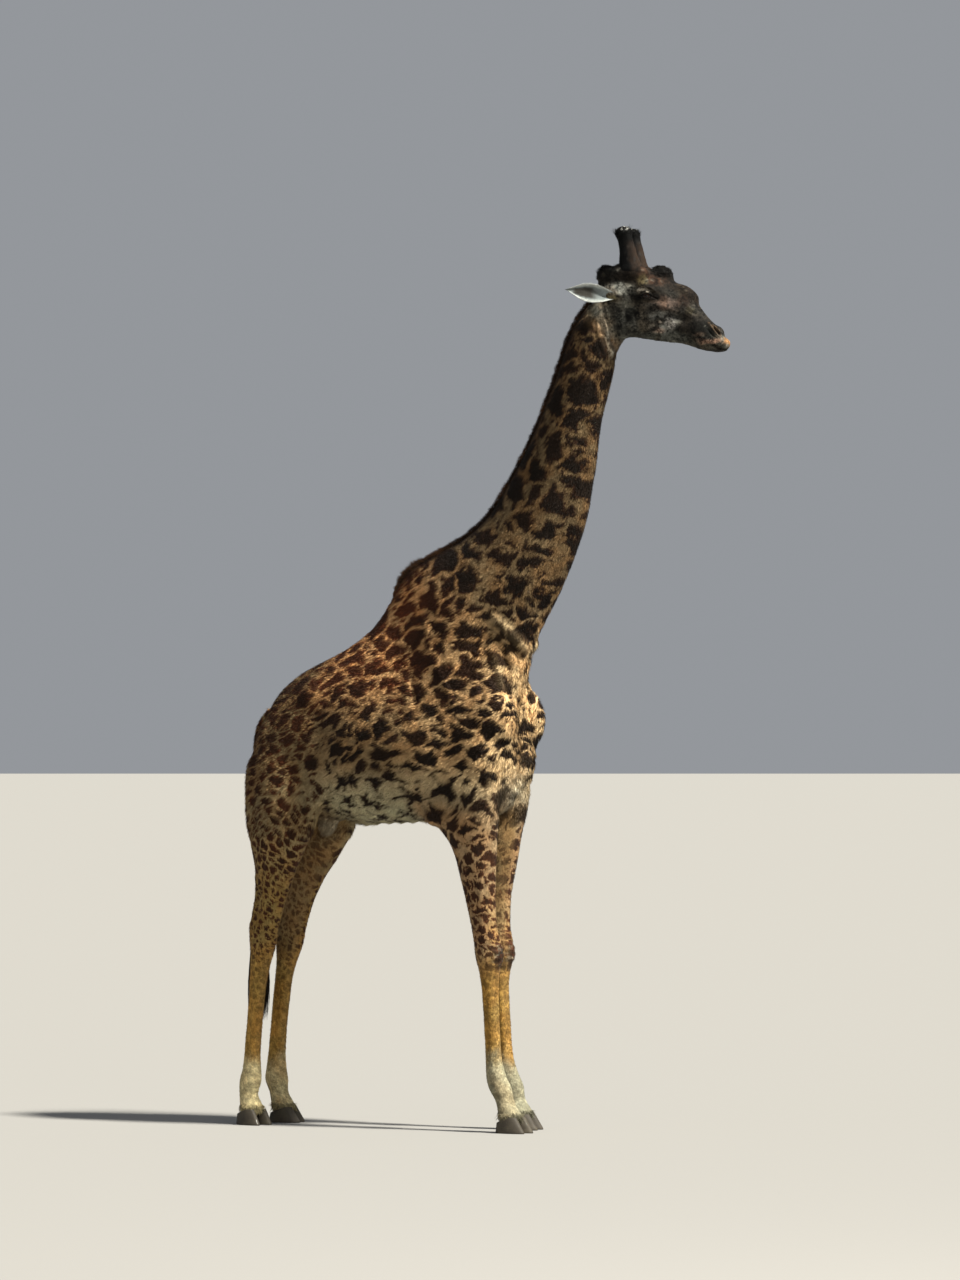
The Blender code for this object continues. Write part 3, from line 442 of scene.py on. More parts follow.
def legLoft(leg, ring, perSpan):
    # round sections from rear to front at each height
    keys = throughRows(leg["rows"], perSpan)
    z, rear, front, half, y = keys.T[:, :, None]
    across, along = sections(ring, 2.15, 2, 0)
    share = (along + 1) / 2
    flat = [rear + (front - rear) * share, leg["side"] * y + half * across, z + 0 * share]
    return poseLeg(leg, joined(*flat))


def ellipsoid(centre, radii, lean, ring=20, rows=13):
    # radii times (sin a cos b, sin a sin b, cos a), leant about y and moved to its centre
    a = np.linspace(0.06, math.pi - 0.06, rows)[:, None]
    b = np.arange(ring)[None] / ring * math.tau
    x, y, z = radii[0] * np.sin(a) * np.cos(b), radii[1] * np.sin(a) * np.sin(b), radii[2] * np.cos(a) + 0 * b
    x, z = turned(x, z, -lean)
    return joined(x, y, z) + centre


def pose(points):
    # twists the upper neck and head about an upright axis, then moves the whole to its place
    points = np.array(points, float)
    share = ramp(points[:, 2], placing["turnFromZ"], placing["turnToZ"])
    angle = placing["headTurn"] * share
    axis = np.interp(points[:, 2], [placing["turnFromZ"], placing["turnToZ"]], placing["turnAxisX"])
    dx, dy = turned(points[:, 0] - axis, points[:, 1], angle)
    return joined(axis + dx, dy, points[:, 2]) + placing["shift"]


# the flesh
skinSettings = dict(
    cell=0.012,  # size of the remesh that fuses the lofts
    filletRounds=130,
    fairRounds=8,
    filletFromZ=0.35,
    filletFullZ=1,
    filletHeadZ=4.3,  # above this less is filled
    filletHeadShare=0.45,
    filletStep=0.8,
    headFromZ=4.27,  # above this the mesh is made finer
    triangles=186000,
    coatDepth=0.005,  # how far the skin lies inside the solids on the body
    faceDepth=0.002,
)


def fleshMesh():
    # every loft and knob as closed grids, fused into one skin
    grids = [railLoft(bodyRows, 32, 5), railLoft(headRows, 28, 5)]
    grids += [legLoft(leg, 24, 5) for leg in legs.values()]
    for _, leg, (lean,), (centre, radii) in knobs:
        for side in mirrored(centre[1]):
            ball = ellipsoid(centre * (1, side, 1), radii, lean)
            grids.append(poseLeg(legOn(leg, side), ball) if leg else ball)
    raw = gridObject("rawFlesh", grids)
    fuse = raw.modifiers.new("fuse", "REMESH")
    fuse.mode = "VOXEL"
    fuse.voxel_size = skinSettings["cell"]
    mesh = evaluatedMesh(raw)
    bpy.data.objects.remove(raw)
    return mesh


def neighbours(mesh):
    # both ends of every edge, and how many edges meet in each vertex
    edges = np.empty(len(mesh.edges) * 2, np.int32)
    mesh.edges.foreach_get("vertices", edges)
    a, b = edges.reshape(-1, 2).T
    return a, b, np.bincount(np.append(a, b), minlength=len(mesh.vertices))


def towardsNeighbours(points, a, b, count):
    # the step from each point to the mean of the points it shares an edge with
    mean = np.empty_like(points)
    for axis in range(3):
        sums = np.bincount(a, points[b, axis], len(points)) + np.bincount(b, points[a, axis], len(points))
        mean[:, axis] = sums / count
    return mean - points


def smoothed(points, links, rounds, free=1):
    # rounds of a step towards the neighbours and a little more back out, which don't thin the shape
    for step in (0.5, -0.52) * rounds:
        points = points + step * free * towardsNeighbours(points, *links)
    return points


def fairFlesh(mesh):
    # fills the hollow creases between lofts along the normals, then smooths without thinning
    points, links, s = pointsOf(mesh), neighbours(mesh), skinSettings
    room = np.clip((points[:, 2] - s["filletFromZ"]) / (s["filletFullZ"] - s["filletFromZ"]), 0, 1)
    room = room * np.where(points[:, 2] > s["filletHeadZ"], s["filletHeadShare"], 1)
    for _ in range(s["filletRounds"]):
        normals = normalsOf(mesh)
        lift = np.maximum(0, np.einsum("ij,ij->i", towardsNeighbours(points, *links), normals)) * room
        points = points + lift[:, None] * normals * s["filletStep"]
        setPoints(mesh, points)
    setPoints(mesh, smoothed(points, links, s["fairRounds"]))


def raiseHills(points, normals, hills):
    # sum over hills of height * exp(-(distance in radii)^2), pushed along the normals
    push = np.zeros(len(points))
    for _, _, (lean, height), (centre, radii) in hills:
        for side in mirrored(centre[1]):
            x, y, z = (points - centre * (1, side, 1)).T
            along, up = turned(x, z, lean)
            push += height * np.exp(-((along / radii[0]) ** 2 + (y / radii[1]) ** 2 + (up / radii[2]) ** 2))
    return points + push[:, None] * normals


flesh = fleshMesh()
fairFlesh(flesh)
setPoints(flesh, raiseHills(pointsOf(flesh), normalsOf(flesh), muscles))
print("flesh fused:", len(flesh.polygons), "faces")

# the skin: finer on the head, with lids, nostrils, mouth, folds and tendons
fineSpots = [  # where the head's mesh is made finer still: centre and reach
    ((0.972, 0.112, 4.598), 0.062),
    ((1.345, 0.05, 4.412), 0.052),
    ((1.26, 0.058, 4.365), 0.026),
    ((1.3, 0.054, 4.34), 0.026),
    ((1.345, 0.046, 4.315), 0.028),
    ((1.39, 0.022, 4.305), 0.034),
]
# lines raised from the skin, or sunk where the height is less than 0: width, height and the path on the left
creases = readRows("""
mouth: 3.4 -11: 1236 62 4384, 1262 60 4366, 1296 56 4343, 1347 48 4315.5, 1384 33 4302, 1405 15 4301,
    1412 0 4301;
upper lip edge: 9 3.5: 1262 62 4380, 1300 58 4358, 1350 50 4331, 1390 34 4318;
lower lip edge: 8 3: 1290 54 4330, 1340 46 4302, 1380 30 4290;
nostril rim: 12.5 7.5: 1312 45 4452, 1335 56 4432, 1355 56 4408, 1374 45 4384;
nostril: 6.2 -24: 1318 48 4446, 1335 57 4430, 1353 57 4407, 1368 48 4388;
lip fold behind the nostril: 6 -4: 1290 60 4442, 1305 62 4410, 1330 58 4380, 1362 50 4358;
upper lid crease: 4.2 -5.5: 918 112 4606, 938 118 4624, 965 122 4632.5, 995 120 4628, 1022 110 4612;
fold over the lid: 6.5 6: 915 112 4622, 940 118 4638, 968 122 4645, 1000 118 4640, 1030 106 4620;
lower lid crease: 4 -3.5: 930 112 4578, 950 115 4563.5, 975 117 4559, 1000 114 4566, 1020 108 4578;
eye's front corner: 4.2 -7: 1004 112 4592, 1020 108 4586, 1036 103 4578;
eye's rear corner: 4 -5: 940 114 4598, 920 112 4596, 900 109 4594;
crow's foot: 4 -3: 925 112 4588, 905 109 4577, 885 107 4570;
face crest: 13 6: 1030 103 4552, 1080 96 4534, 1140 84 4505;
under the crest: 12 -5: 1060 94 4515, 1120 84 4490, 1180 74 4455;
nose side groove: 14 -2.5: 1090 85 4600, 1150 72 4560, 1220 62 4500, 1270 58 4460;
jaw edge: 14 6: 820 80 4420, 880 78 4392, 970 70 4374, 1080 58 4362;
jaw vein: 5 3: 1120 74 4500, 1090 80 4450, 1060 76 4400;
behind the jaw: 12 -10: 775 98 4560, 785 95 4480, 800 80 4400, 815 45 4345;
first throat fold: 8.5 11: 700 98 4580, 712 96 4510, 737 92 4444, 750 75 4370, 762 45 4297;
second throat fold: 7 8: 735 100 4545, 752 96 4470, 772 82 4400, 782 55 4340;
throat groove: 8 -8: 718 98 4560, 732 96 4500, 754 88 4420, 770 60 4330;
third throat fold: 9 6: 668 98 4520, 690 98 4440, 712 85 4350, 725 60 4250;
jugular groove: 20 -9: 700 75 4250, 655 95 4000, 585 115 3650, 470 140 3250, 330 150 2900;
windpipe: 30 7: 735 0 4200, 695 0 3850, 630 0 3500, 500 0 3100, 350 0 2830;
neck foot fold: 15 -26: 120 165 2735, 158 145 2660, 186 128 2570, 200 115 2470, 212 100 2350;
edge before the fold: 20 14: 185 120 2660, 215 100 2590, 235 80 2500, 236 60 2410;
edge behind the fold: 18 15: 70 190 2720, 115 175 2640, 145 165 2540, 165 158 2420, 175 150 2300;
throat root fold: 16 -26: 95 172 2805, 160 138 2730, 215 95 2655, 258 40 2590, 268 0 2575;
throat root lip: 24 24: 100 165 2865, 170 130 2785, 232 85 2705, 278 30 2635, 288 0 2625;
shoulder seam: 14 -10: 20 235 2620, 70 235 2480, 90 250 2330, 75 285 2200;
shoulder blade spine: 22 10: -300 190 2860, -220 240 2650, -120 275 2450, -50 290 2330;
blade's rear edge: 20 -9: -420 200 2830, -370 260 2600, -310 295 2380, -280 310 2200;
behind the arm: 18 -12: -300 320 2150, -310 315 2000, -300 290 1860, -270 255 1740;
flank fold: 22 17: -960 300 2160, -975 300 2040, -965 295 1930, -945 270 1820;
behind the flank fold: 18 -16: -1010 290 2130, -1020 295 2020, -1010 290 1910, -985 265 1800;
thigh parting: 14 -8: -1330 185 2230, -1335 220 2050, -1340 245 1880, -1340 235 1700;
thigh's front edge: 20 8: -1060 285 2050, -1055 300 1930, -1060 290 1800, -1090 260 1680;
breast parting: 12 -12: 235 0 2500, 245 0 2350, 225 0 2200, 180 0 2050, 130 0 1900;
foreleg vein @fore: 9 5: 110 235 1800, 95 240 1620, 75 235 1430, 60 215 1250, 70 205 1120;
forearm parting @fore: 12 -9: 30 280 1800, 20 260 1620, 20 240 1430, 30 220 1250, 45 210 1120;
forearm's rear edge @fore: 12 -6: -80 240 1600, -45 225 1430, -10 210 1270, 15 205 1130;
tendon groove @fore: 8 -8: 68 200 850, 78 192 700, 88 190 520, 98 192 380;
inner tendon groove @fore: 8 -8: 68 100 850, 78 108 700, 88 106 520, 98 104 380;
gaskin parting @hind: 12 -9: -1250 290 1680, -1265 275 1520, -1300 250 1380, -1335 225 1240;
hamstring @hind: 12 8: -1370 200 1420, -1378 185 1320, -1388 170 1210, -1395 162 1150;
beside the hamstring @hind: 12 -10: -1345 225 1400, -1345 212 1300, -1350 200 1200, -1355 198 1130;
tendon groove @hind: 8 -8: -1360 196 860, -1372 185 700, -1385 181 520, -1398 182 380;
inner tendon groove @hind: 8 -8: -1360 100 860, -1372 103 700, -1385 99 520, -1398 98 380
""")
paths = {name: path for name, _, _, path in creases}
# fields of soft wrinkles: spacing and height; centre, radii and the direction across the wrinkles
wrinkles = readRows("""
brisket: 55 6: 150 0 1900, 140 200 130, 800 350 480;
breast: 50 6: 160 140 2020, 100 100 160, 200 550 810;
throat root: 50 4: 260 0 2740, 100 140 100, 300 550 780;
shoulder point: 50 4: 120 240 2360, 100 100 140, 300 100 950;
upper arm: 60 4: 60 280 2050, 120 120 200, 500 0 860;
belly: 85 4: -450 100 1720, 450 300 100, 940 300 150;
flank: 50 5: -920 280 1920, 100 120 180, 850 0 500;
armpit: 45 6: -260 280 1800, 120 120 120, 600 0 800;
scrotum: 26 3: -1000 0 1700, 90 90 130, 100 100 1000;
knee @fore: 34 6: 120 150 985, 60 80 90, 100 300 1000;
hock front @hind: 34 4: -1230 155 1060, 50 80 100, 200 0 1000;
pastern @fore: 26 2.5: 190 146 190, 80 90 60, -400 0 900;
pastern @hind: 26 2.5: -1350 136 190, 80 90 60, -400 0 900;
upper throat: 30 3: 720 80 4400, 100 80 160, 970 0 240;
lips: 12 1: 1350 45 4340, 70 40 35, 900 0 300;
nose: 22 1.4: 1170 60 4520, 100 50 60, 500 0 870
""")
eyes = dict(
    centre=(0.972, 0.101, 4.598),
    radius=0.0285,
    outward=(0.16, 0.985, -0.06),
    reach=0.044,  # how far from the eye's axis the lids run out
    lid=0.0032,  # thickness of the lids
    halfLength=0.93,  # the opening, in units of the eye's radius
    upper=0.46,
    lower=0.46,
)


def bothSides(points, leg):
    # a detail's points for each side of the body, stood with its leg where it has one
    for side in mirrored(np.abs(points[:, 1]).max()):
        placed = points * (1, side, 1)
        yield side, poseLeg(legOn(leg, side), placed) if leg else placed


def distanceToPath(points, path):
    # the least distance from each point to the straight runs of a path
    least = np.full(len(points), 9)
    for a, b in zip(path, path[1:]):
        along = b - a
        t = np.clip((points - a) @ along / (along @ along), 0, 1)
        least = np.minimum(least, norm(points - a - t[:, None] * along, axis=1))
    return least


def pathFade(points, path):
    # 1 along a path, falling to 0 over its last tenth at each end, so that lines taper out
    total = path[-1] - path[0]
    t = (points - path[0]) @ total / (total @ total)
    return ramp(t, -0.04, 0.12) * fall(t, 0.88, 1.04)


def drawCreases(points, normals):
    # height * exp(-(distance / width)^2) for each line, pushed along the normals
    push = np.zeros(len(points))
    for name, leg, (width, height), line in creases:
        for _, path in bothSides(line, leg):
            path = throughRows(path, 4)
            reach = width * 3
            near = np.all((points > path.min(0) - reach) & (points < path.max(0) + reach), axis=1)
            at = points[near]
            fade = 1 if name in ("mouth", "nostril", "nostril rim") else pathFade(at, path)
            push[near] += fade * height * np.exp(-((distanceToPath(at, path) / width) ** 2))
    return points + push[:, None] * normals


def drawWrinkles(points, normals):
    # waves of wandering spacing: height (1 - 2 |sin|), patchy in strength, inside a soft ellipsoid
    push = np.zeros(len(points))
    for number, (_, leg, (every, height), (middle, radii, across)) in enumerate(wrinkles):
        for side, centre in bothSides(middle[None], leg):
            near = np.all(np.abs(points - centre) < radii * 2.2, axis=1)
            at = points[near]
            direction = unit(across * (1, side, 1))
            phase = at @ direction + 0.9 * every * lumps(at, every * 3, 11 + number)
            wave = 1 - np.abs(np.sin(math.pi * phase / every)) * 2
            patchy = 0.6 + 0.4 * lumps(at, every * 3, 40 + number, 1)
            fade = np.exp(-(((at - centre) / radii) ** 2).sum(axis=1))
            push[near] += height * wave * patchy * fade
    return points + push[:, None] * normals


def refine(mesh, near, cuts, rounds=6):
    # splits the faces whose corners are all near, and rounds off the new corners
    grid = bmesh.new()
    grid.from_mesh(mesh)
    chosen = set(np.flatnonzero(near).tolist())
    edges = [e for e in grid.edges if e.verts[0].index in chosen and e.verts[1].index in chosen]
    bmesh.ops.subdivide_edges(grid, edges=edges, cuts=cuts, use_grid_fill=True)
    grid.to_mesh(mesh)
    grid.free()
    mesh.update()
    points, links = pointsOf(mesh), neighbours(mesh)
    a, b, _ = links
    free = np.append(near, np.ones(len(points) - len(near)))
    fixed = np.bincount(a, 1 - free[b], len(points)) + np.bincount(b, 1 - free[a], len(points))
    free = (free * (fixed == 0))[:, None]
    setPoints(mesh, smoothed(points, links, rounds, free))


def eyeFrame(side):
    # an eye's centre and its outward, forward and upward unit vectors
    outward = unit(np.array(eyes["outward"]) * (1, side, 1))
    upward = np.array([0, 0, 1])
    upward = unit(upward - outward * (upward @ outward))
    return np.array(eyes["centre"]) * (1, side, 1), outward, np.cross(upward, outward) * side, upward


def lidEdges(a):
    # slope of the eye, height of the upper lid's edge and of the lower one's over it; a from rear to front
    room = np.clip(1 - a * a, 0, 1) ** 0.62
    return 0.06 * a, eyes["upper"] * room * (1 + 0.15 * a), -eyes["lower"] * room * (1 - 0.12 * a)


def eyeOpening(a, b):
    # 0 on the lids' edge, less inside: an almond, a from rear to front and b from low to high
    a = a / eyes["halfLength"]
    tilt, high, low = lidEdges(a)
    return np.maximum(b - tilt - high, low - b + tilt) + np.clip(np.abs(a) - 0.97, 0, 1)


def openEyes(points):
    # skin within reach of an eye's axis is spread over the ball and sinks behind it in the opening
    points = points.copy()
    radius, reach = eyes["radius"], eyes["reach"]
    for side in sides:
        centre, outward, forward, upward = eyeFrame(side)
        away = points - centre
        out, ahead, up = away @ outward, away @ forward, away @ upward
        across = np.hypot(ahead, up)
        near = (across < reach) & (out > -0.02) & (out < 0.06)
        angle = np.clip(across[near] / reach, 0, 1) * math.radians(84)
        turn = np.arctan2(up[near], ahead[near])
        a, b = np.sin(angle) * np.cos(turn), np.sin(angle) * np.sin(turn)
        gape = eyeOpening(a, b)
        height = np.where(gape < 0, radius - 0.006 * ramp(-gape, 0, 0.05), radius + eyes["lid"])
        height = height + 0.0014 * np.exp(-((gape - 0.07) / 0.06) ** 2) * (gape > 0)
        ball = a[:, None] * forward + b[:, None] * upward + np.cos(angle)[:, None] * outward
        ball = centre + height[:, None] * ball
        share = fall(across[near], reach * 0.66, reach)[:, None]
        points[near] = ball * share + points[near] * (1 - share)
    return points


def thinBody(mesh):
    # fewer triangles below the head, all of them kept above
    holder = sceneObject("holder", mesh)
    group = holder.vertex_groups.new(name="may go")
    body = np.flatnonzero(pointsOf(mesh)[:, 2] < skinSettings["headFromZ"] - 0.02)
    group.add(body.tolist(), 1, "REPLACE")
    triangles = sum(len(face.vertices) - 2 for face in mesh.polygons)
    thin = holder.modifiers.new("fewer", "DECIMATE")
    thin.ratio = min(1, skinSettings["triangles"] / triangles)
    thin.use_collapse_triangulate = True
    thin.vertex_group = group.name
    made = evaluatedMesh(holder)
    bpy.data.objects.remove(holder)
    return made


def skinDepth(points):
    # how far the skin lies under the solids: the coat's depth, less on the legs and face
    z, s = points[:, 2], skinSettings
    return s["faceDepth"] + (s["coatDepth"] - s["faceDepth"]) * ramp(z, 1, 2) * fall(z, 4.1, 4.4)


def knobShare(points):
    # 1 on the forehead's and the poll's knobs, falling off around them
    at = ontoLeft(points)
    knobTops = ((1.04, 0, 4.752), (0.735, 0.045, 4.745))
    far = np.min([norm(at - top, axis=1) for top in knobTops], axis=0)
    return np.exp(-((far / 0.068) ** 4))


points = pointsOf(flesh)
refine(flesh, points[:, 2] > skinSettings["headFromZ"], 1)
points = pointsOf(flesh)
close = np.zeros(len(points), bool)
for spot, reach in fineSpots:
    for side in sides:
        close |= norm(points - np.array(spot) * (1, side, 1), axis=1) < reach
refine(flesh, close, 2)
print("head made finer:", len(flesh.polygons), "faces")
points = pointsOf(flesh) - skinDepth(pointsOf(flesh))[:, None] * normalsOf(flesh)
setPoints(flesh, points)
setPoints(flesh, openEyes(points))
normals = normalsOf(flesh)
points = drawCreases(pointsOf(flesh), normals)
points = drawWrinkles(points, normals)
points += (0.0022 * ramp(-points[:, 2], -4.2, -4) * lumps(points, 0.11, 3))[:, None] * normals
points += (0.012 * knobShare(points) * lumps(points, 0.04, 4, 3))[:, None] * normals
setPoints(flesh, points)
skinMesh = thinBody(flesh)
print("skin shaped:", len(skinMesh.polygons), "triangles")

# colours of the ground and of the patches in each region; the neck's ground is darker as painted shade, the
# back's and the shoulders' paler as painted sunlight, and the pale socks are darker on the forelegs as
# painted shade and paler on the hind legs as painted light
palette = dict(
    neckGroundShaded=(0.19, 0.13, 0.066), sunlitBackGround=(0.68, 0.39, 0.17),
    flankGround=(0.236, 0.157, 0.076), bellyGround=(0.38, 0.345, 0.215),
    rumpGround=(0.205, 0.145, 0.07), sunlitShoulderGround=(0.43, 0.285, 0.14),
    breastGround=(0.6, 0.435, 0.235), gaskinGround=(0.22, 0.15, 0.05),
    forearmGround=(0.27, 0.18, 0.094), shinGround=(0.34, 0.205, 0.052),
    shinFront=(0.29, 0.18, 0.055), shadedForeSock=(0.26, 0.245, 0.165),
    sunlitHindSock=(0.51, 0.43, 0.235), innerLeg=(0.2, 0.135, 0.062),
    callus=(0.03, 0.025, 0.02), neckPatch=(0.01, 0.0062, 0.004),
    backPatch=(0.06, 0.02, 0.008), flankPatch=(0.012, 0.0072, 0.0042),
    rumpPatch=(0.03, 0.012, 0.005), legPatch=(0.036, 0.016, 0.008),
    nape=(0.018, 0.009, 0.005), face=(0.03, 0.027, 0.022),
    brow=(0.015, 0.012, 0.009), jaw=(0.07, 0.071, 0.06),
    throat=(0.12, 0.115, 0.09), brisket=(0.66, 0.58, 0.42),
    dirt=(0.22, 0.175, 0.1), coronet=(0.16, 0.12, 0.07),
    kneeCreases=(0.26, 0.22, 0.16), scrotum=(0.24, 0.2, 0.135),
    eyeSurroundAndShadow=(0.009, 0.008, 0.007), paleMottle=(0.135, 0.13, 0.11),
    darkMottle=(0.007, 0.007, 0.006),
)
# soft spots of colour on the head: strength; centre on the left side, radii, colour. The lid spot is a
# painted highlight on the upper lid, the near-black spots behind and before the eye are partly painted
# shadow, and the horn front's brown is painted sunlight
faceSpots = readRows("""
forehead: 950: 1000 0 4720, 140 130 70, 20 14 10;
temple: 950: 845 100 4705, 85 60 50, 16 12 9;
poll: 1000: 720 0 4720, 80 120 70, 8 7 6;
below the poll: 900: 715 80 4665, 40 60 30, 14 12 10;
reddish brow: 950: 1025 85 4690, 60 60 36, 66 34 20;
tan spot: 900: 950 113 4680, 30 30 34, 150 135 78;
brow under it: 900: 985 118 4655, 40 30 14, 14 12 10;
horn front: 900: 950 75 4740, 55 45 42, 58 32 20;
forehead knob: 1000: 1040 0 4755, 85 120 62, 7 6 5;
below the knob: 900: 1110 0 4695, 55 110 34, 12 10 8;
nose bridge: 1000: 1225 0 4600, 90 50 85, 16 12 9;
nose side: 800: 1165 75 4565, 50 40 34, 34 21 15;
nose's lower side: 700: 1215 68 4515, 32 30 24, 52 45 26;
face hollow: 950: 1070 94 4555, 72 40 40, 120 88 72;
face hollow front: 800: 1105 85 4520, 50 30 24, 60 45 34;
under the eye: 800: 960 112 4545, 70 30 18, 85 80 70;
cheek ring: 1000: 1050 89 4448, 88 50 62, 270 270 245;
cheek middle: 1000: 1043 92 4458, 48 50 29, 18 16 13;
cheek fleck: 900: 1040 92 4452, 14 50 10, 280 250 210;
cheek light: 950: 1100 80 4448, 30 40 30, 460 430 390;
cheek pink: 900: 1030 80 4408, 40 50 12, 320 250 210;
before the cheek: 900: 1190 70 4420, 60 50 50, 18 17 15;
blotch 1: 1000: 975 94 4452, 22 50 19, 18 16 14;
blotch 2: 900: 1010 75 4418, 30 50 13, 24 21 18;
blotch 3: 800: 1085 80 4490, 28 50 11, 28 24 20;
jaw side: 900: 900 100 4470, 120 60 55, 95 95 83;
blotch 4: 1000: 868 102 4485, 24 50 40, 4 4 4;
blotch 5: 1000: 914 103 4495, 21 50 39, 4 4 4;
blotch 6: 1000: 800 80 4425, 36 50 22, 12 12 11;
blotch 7: 900: 868 85 4402, 22 50 15, 14 13 12;
blotch 8: 850: 815 95 4520, 18 50 26, 18 17 15;
behind the cheek: 750: 850 100 4550, 70 50 30, 100 96 78;
ear foot: 1000: 795 98 4642, 92 60 32, 560 560 490;
before the ear foot: 600: 885 105 4632, 45 50 26, 170 165 140;
below the ear foot: 800: 750 100 4590, 55 50 24, 130 125 75;
lid: 1000: 957 122 4626, 38 20 9.5, 620 650 620;
behind the eye: 1000: 915 108 4592, 42 30 17, 5 5 5;
before the eye: 1000: 1022 106 4592, 38 30 19, 4 4 4;
muzzle: 1000: 1300 50 4415, 85 60 54, 6 6 5;
nose tip: 800: 1375 0 4405, 34 50 26, 22 17 13;
mouth band: 1000: 1320 55 4349, 70 40 17.5, 270 190 150;
mouth band's end: 800: 1262 62 4388, 32 40 13, 90 68 52;
lip tip: 1000: 1405 0 4342, 30 42 25, 230 120 50;
chin: 1000: 1335 0 4292, 90 60 20, 16 14 13;
lower jaw: 800: 1200 0 4325, 80 70 25, 60 56 44
""")
# lines of colour along the creases' own paths: width and strength; colour. The dark lines in the mouth, the
# nostrils, the throat groove, the lid crease and the eye's corners are partly the skin's own darkness and
# partly painted shade; on the body the dark lines in the folds are painted shade and the pale lines along
# their edges painted highlights
faceLines = readRows("""
nostril rim: 9.5 950: 200 130 75;
nostril: 8.5 1000: 8 6 5;
mouth: 5.2 1000: 20 14 12;
eye's front corner: 10 1000: 16 13 11;
eye's rear corner: 9 1000: 16 13 11;
first throat fold: 30 1000: 400 385 320;
second throat fold: 10 700: 150 140 110;
throat groove: 14 850: 22 19 15;
upper lid crease: 4.5 700: 40 34 28
""")
foldShadeAndHighlightLines = readRows("""
throat root lip: 24 900: 360 280 165;
throat root fold: 16 1000: 14 9 5;
edge before the fold: 22 400: 460 340 190;
neck foot fold: 15 1000: 14 9 5;
edge behind the fold: 22 500: 500 370 200;
breast parting: 16 800: 30 18 10
""")


# size of a patch with its gap along the trunk, and how many times smaller with the height
patchSizes = dict(
    x=[-1.45, -1.1, -0.8, -0.45, 0.15, 0.45, 1],
    trunk=[0.072, 0.086, 0.136, 0.158, 0.156, 0.162, 0.162],
    z=[0, 0.9, 1.3, 1.6, 1.74, 2.9, 3.5, 4.4],
    fore=[3.1, 3.1, 2.7, 1.85, 1.12, 1, 0.9, 1.22],
    hind=[2.4, 2.4, 2.1, 1.5, 1, 1, 1, 1],
    flatter=[1, 1, 1, 1.1, 1.25, 1.3, 1.15, 1.05],
)


def towards(colours, *layers):
    # every row moved towards one colour after another, each by its own share
    for colour, share in layers:
        colour = np.array(palette[colour] if isinstance(colour, str) else colour)
        colours = colours + (colour - colours) * np.asarray(share)[:, None]
    return colours


def softBall(points, centre, radii, power=2):
    # 1 in the middle of an ellipsoid and less around it: exp(-(distance in radii)^(2 power))
    return np.exp(-((((points - centre) / radii) ** 2).sum(axis=1) ** power))


def pastPoll(points, start=0.695):
    # metres in front of a slanting plane through the poll
    return (points[:, 0] - start) * 0.743 + (points[:, 2] - 4.425) * 0.669


def pastNeckFoot(points):
    # metres above a slanting plane through the neck's foot
    return (points[:, 0] + 0.075) * 0.647 + (points[:, 2] - 2.915) * 0.763


def regions(points, normals):
    # soft shares of the body's regions, from the height, the length and the way the skin faces
    x, y, z = points.T
    face = ramp(pastPoll(points), -0.06, 0.05)
    neck = ramp(pastNeckFoot(points), -0.22, 0.22) * (1 - face)
    hind = ramp(-x, 0.82, 1.12) * (z < 3)
    arm = ramp(x, -0.42, -0.3) * fall(z, 1.72, 2.02)
    leg = np.where(x < -0.75, fall(z, 1.25, 1.95), np.maximum(fall(z, 1.35, 1.7), arm))
    inward = ramp(-normals[:, 1] * np.sign(y), 0.15, 0.75)
    under = ramp(-normals[:, 2], 0.25, 0.8)
    return face, neck, hind, leg, inward, under


def paintHead(points, at, wobble):
    # the head: its own colours, with painted shade pressed into the darker ones, no patches; at holds the
    # points brought to the left side
    x, _, z = points.T
    slope = z - 0.5 * (1.2 - x)
    head = palette["face"] + 0 * points
    head = towards(head, ("brow", ramp(slope, 4.55, 4.66)), ("jaw", fall(z, 4.38, 4.46)),
                   ("throat", fall(x, 0.68, 0.8)))
    for _, _, (strength,), (spot, radii, colour) in faceSpots:
        head = towards(head, (colour, strength * softBall(at + wobble, spot, radii)))
    for name, _, (width, strength), (colour,) in faceLines:
        far = distanceToPath(at, throughRows(paths[name], 3)) / width
        head = towards(head, (colour, strength * np.exp(-(far**2))))
    centre, outward, forward, upward = eyeFrame(1)
    away = at - centre
    a, b = away @ forward / eyes["radius"], away @ upward / eyes["radius"]
    # a dark almond about the eye: its dark lids and lashes, widened by painted shadow in the socket
    almond = np.hypot(np.abs(b + 0.1 * a) / 0.6, (a - 0.1) / 2) + 0.35 * (b > 0.4) * (np.abs(a) < 0.8)
    lower = fall(slope, 4.52, 4.66)
    calm = 1 - softBall(at, centre, (0.1, 0.06, 0.038))
    mottles = ramp(lumps(points, 0.026, 63, 3), 0.2, 0.55) * (0.2 + 0.45 * lower)
    head = towards(head, ("eyeSurroundAndShadow", fall(almond, 0.86, 1.1) * (np.abs(away @ outward) < 0.06)),
                   ("paleMottle", mottles * calm),
                   ("darkMottle", ramp(lumps(points, 0.022, 64, 3), 0.22, 0.55) * 0.8 * calm))
    head = head * (1 + 0.3 * lumps(points, 0.022, 60)[:, None] + 0.3 * lumps(points, 0.06, 61)[:, None])
    # painted shade: the head's darker colours are made darker still
    head = head * np.minimum(1, 0.6 + 2 * head.mean(axis=1, keepdims=True))
    salt = softBall(at + wobble, (0.81, 0.098, 4.64), (0.12, 0.07, 0.05), 1)
    speck = lumps(points, 0.0065, 62, 1)
    return head * (1 + 0.62 * salt * np.sign(speck) * np.abs(speck) ** 0.5)[:, None]


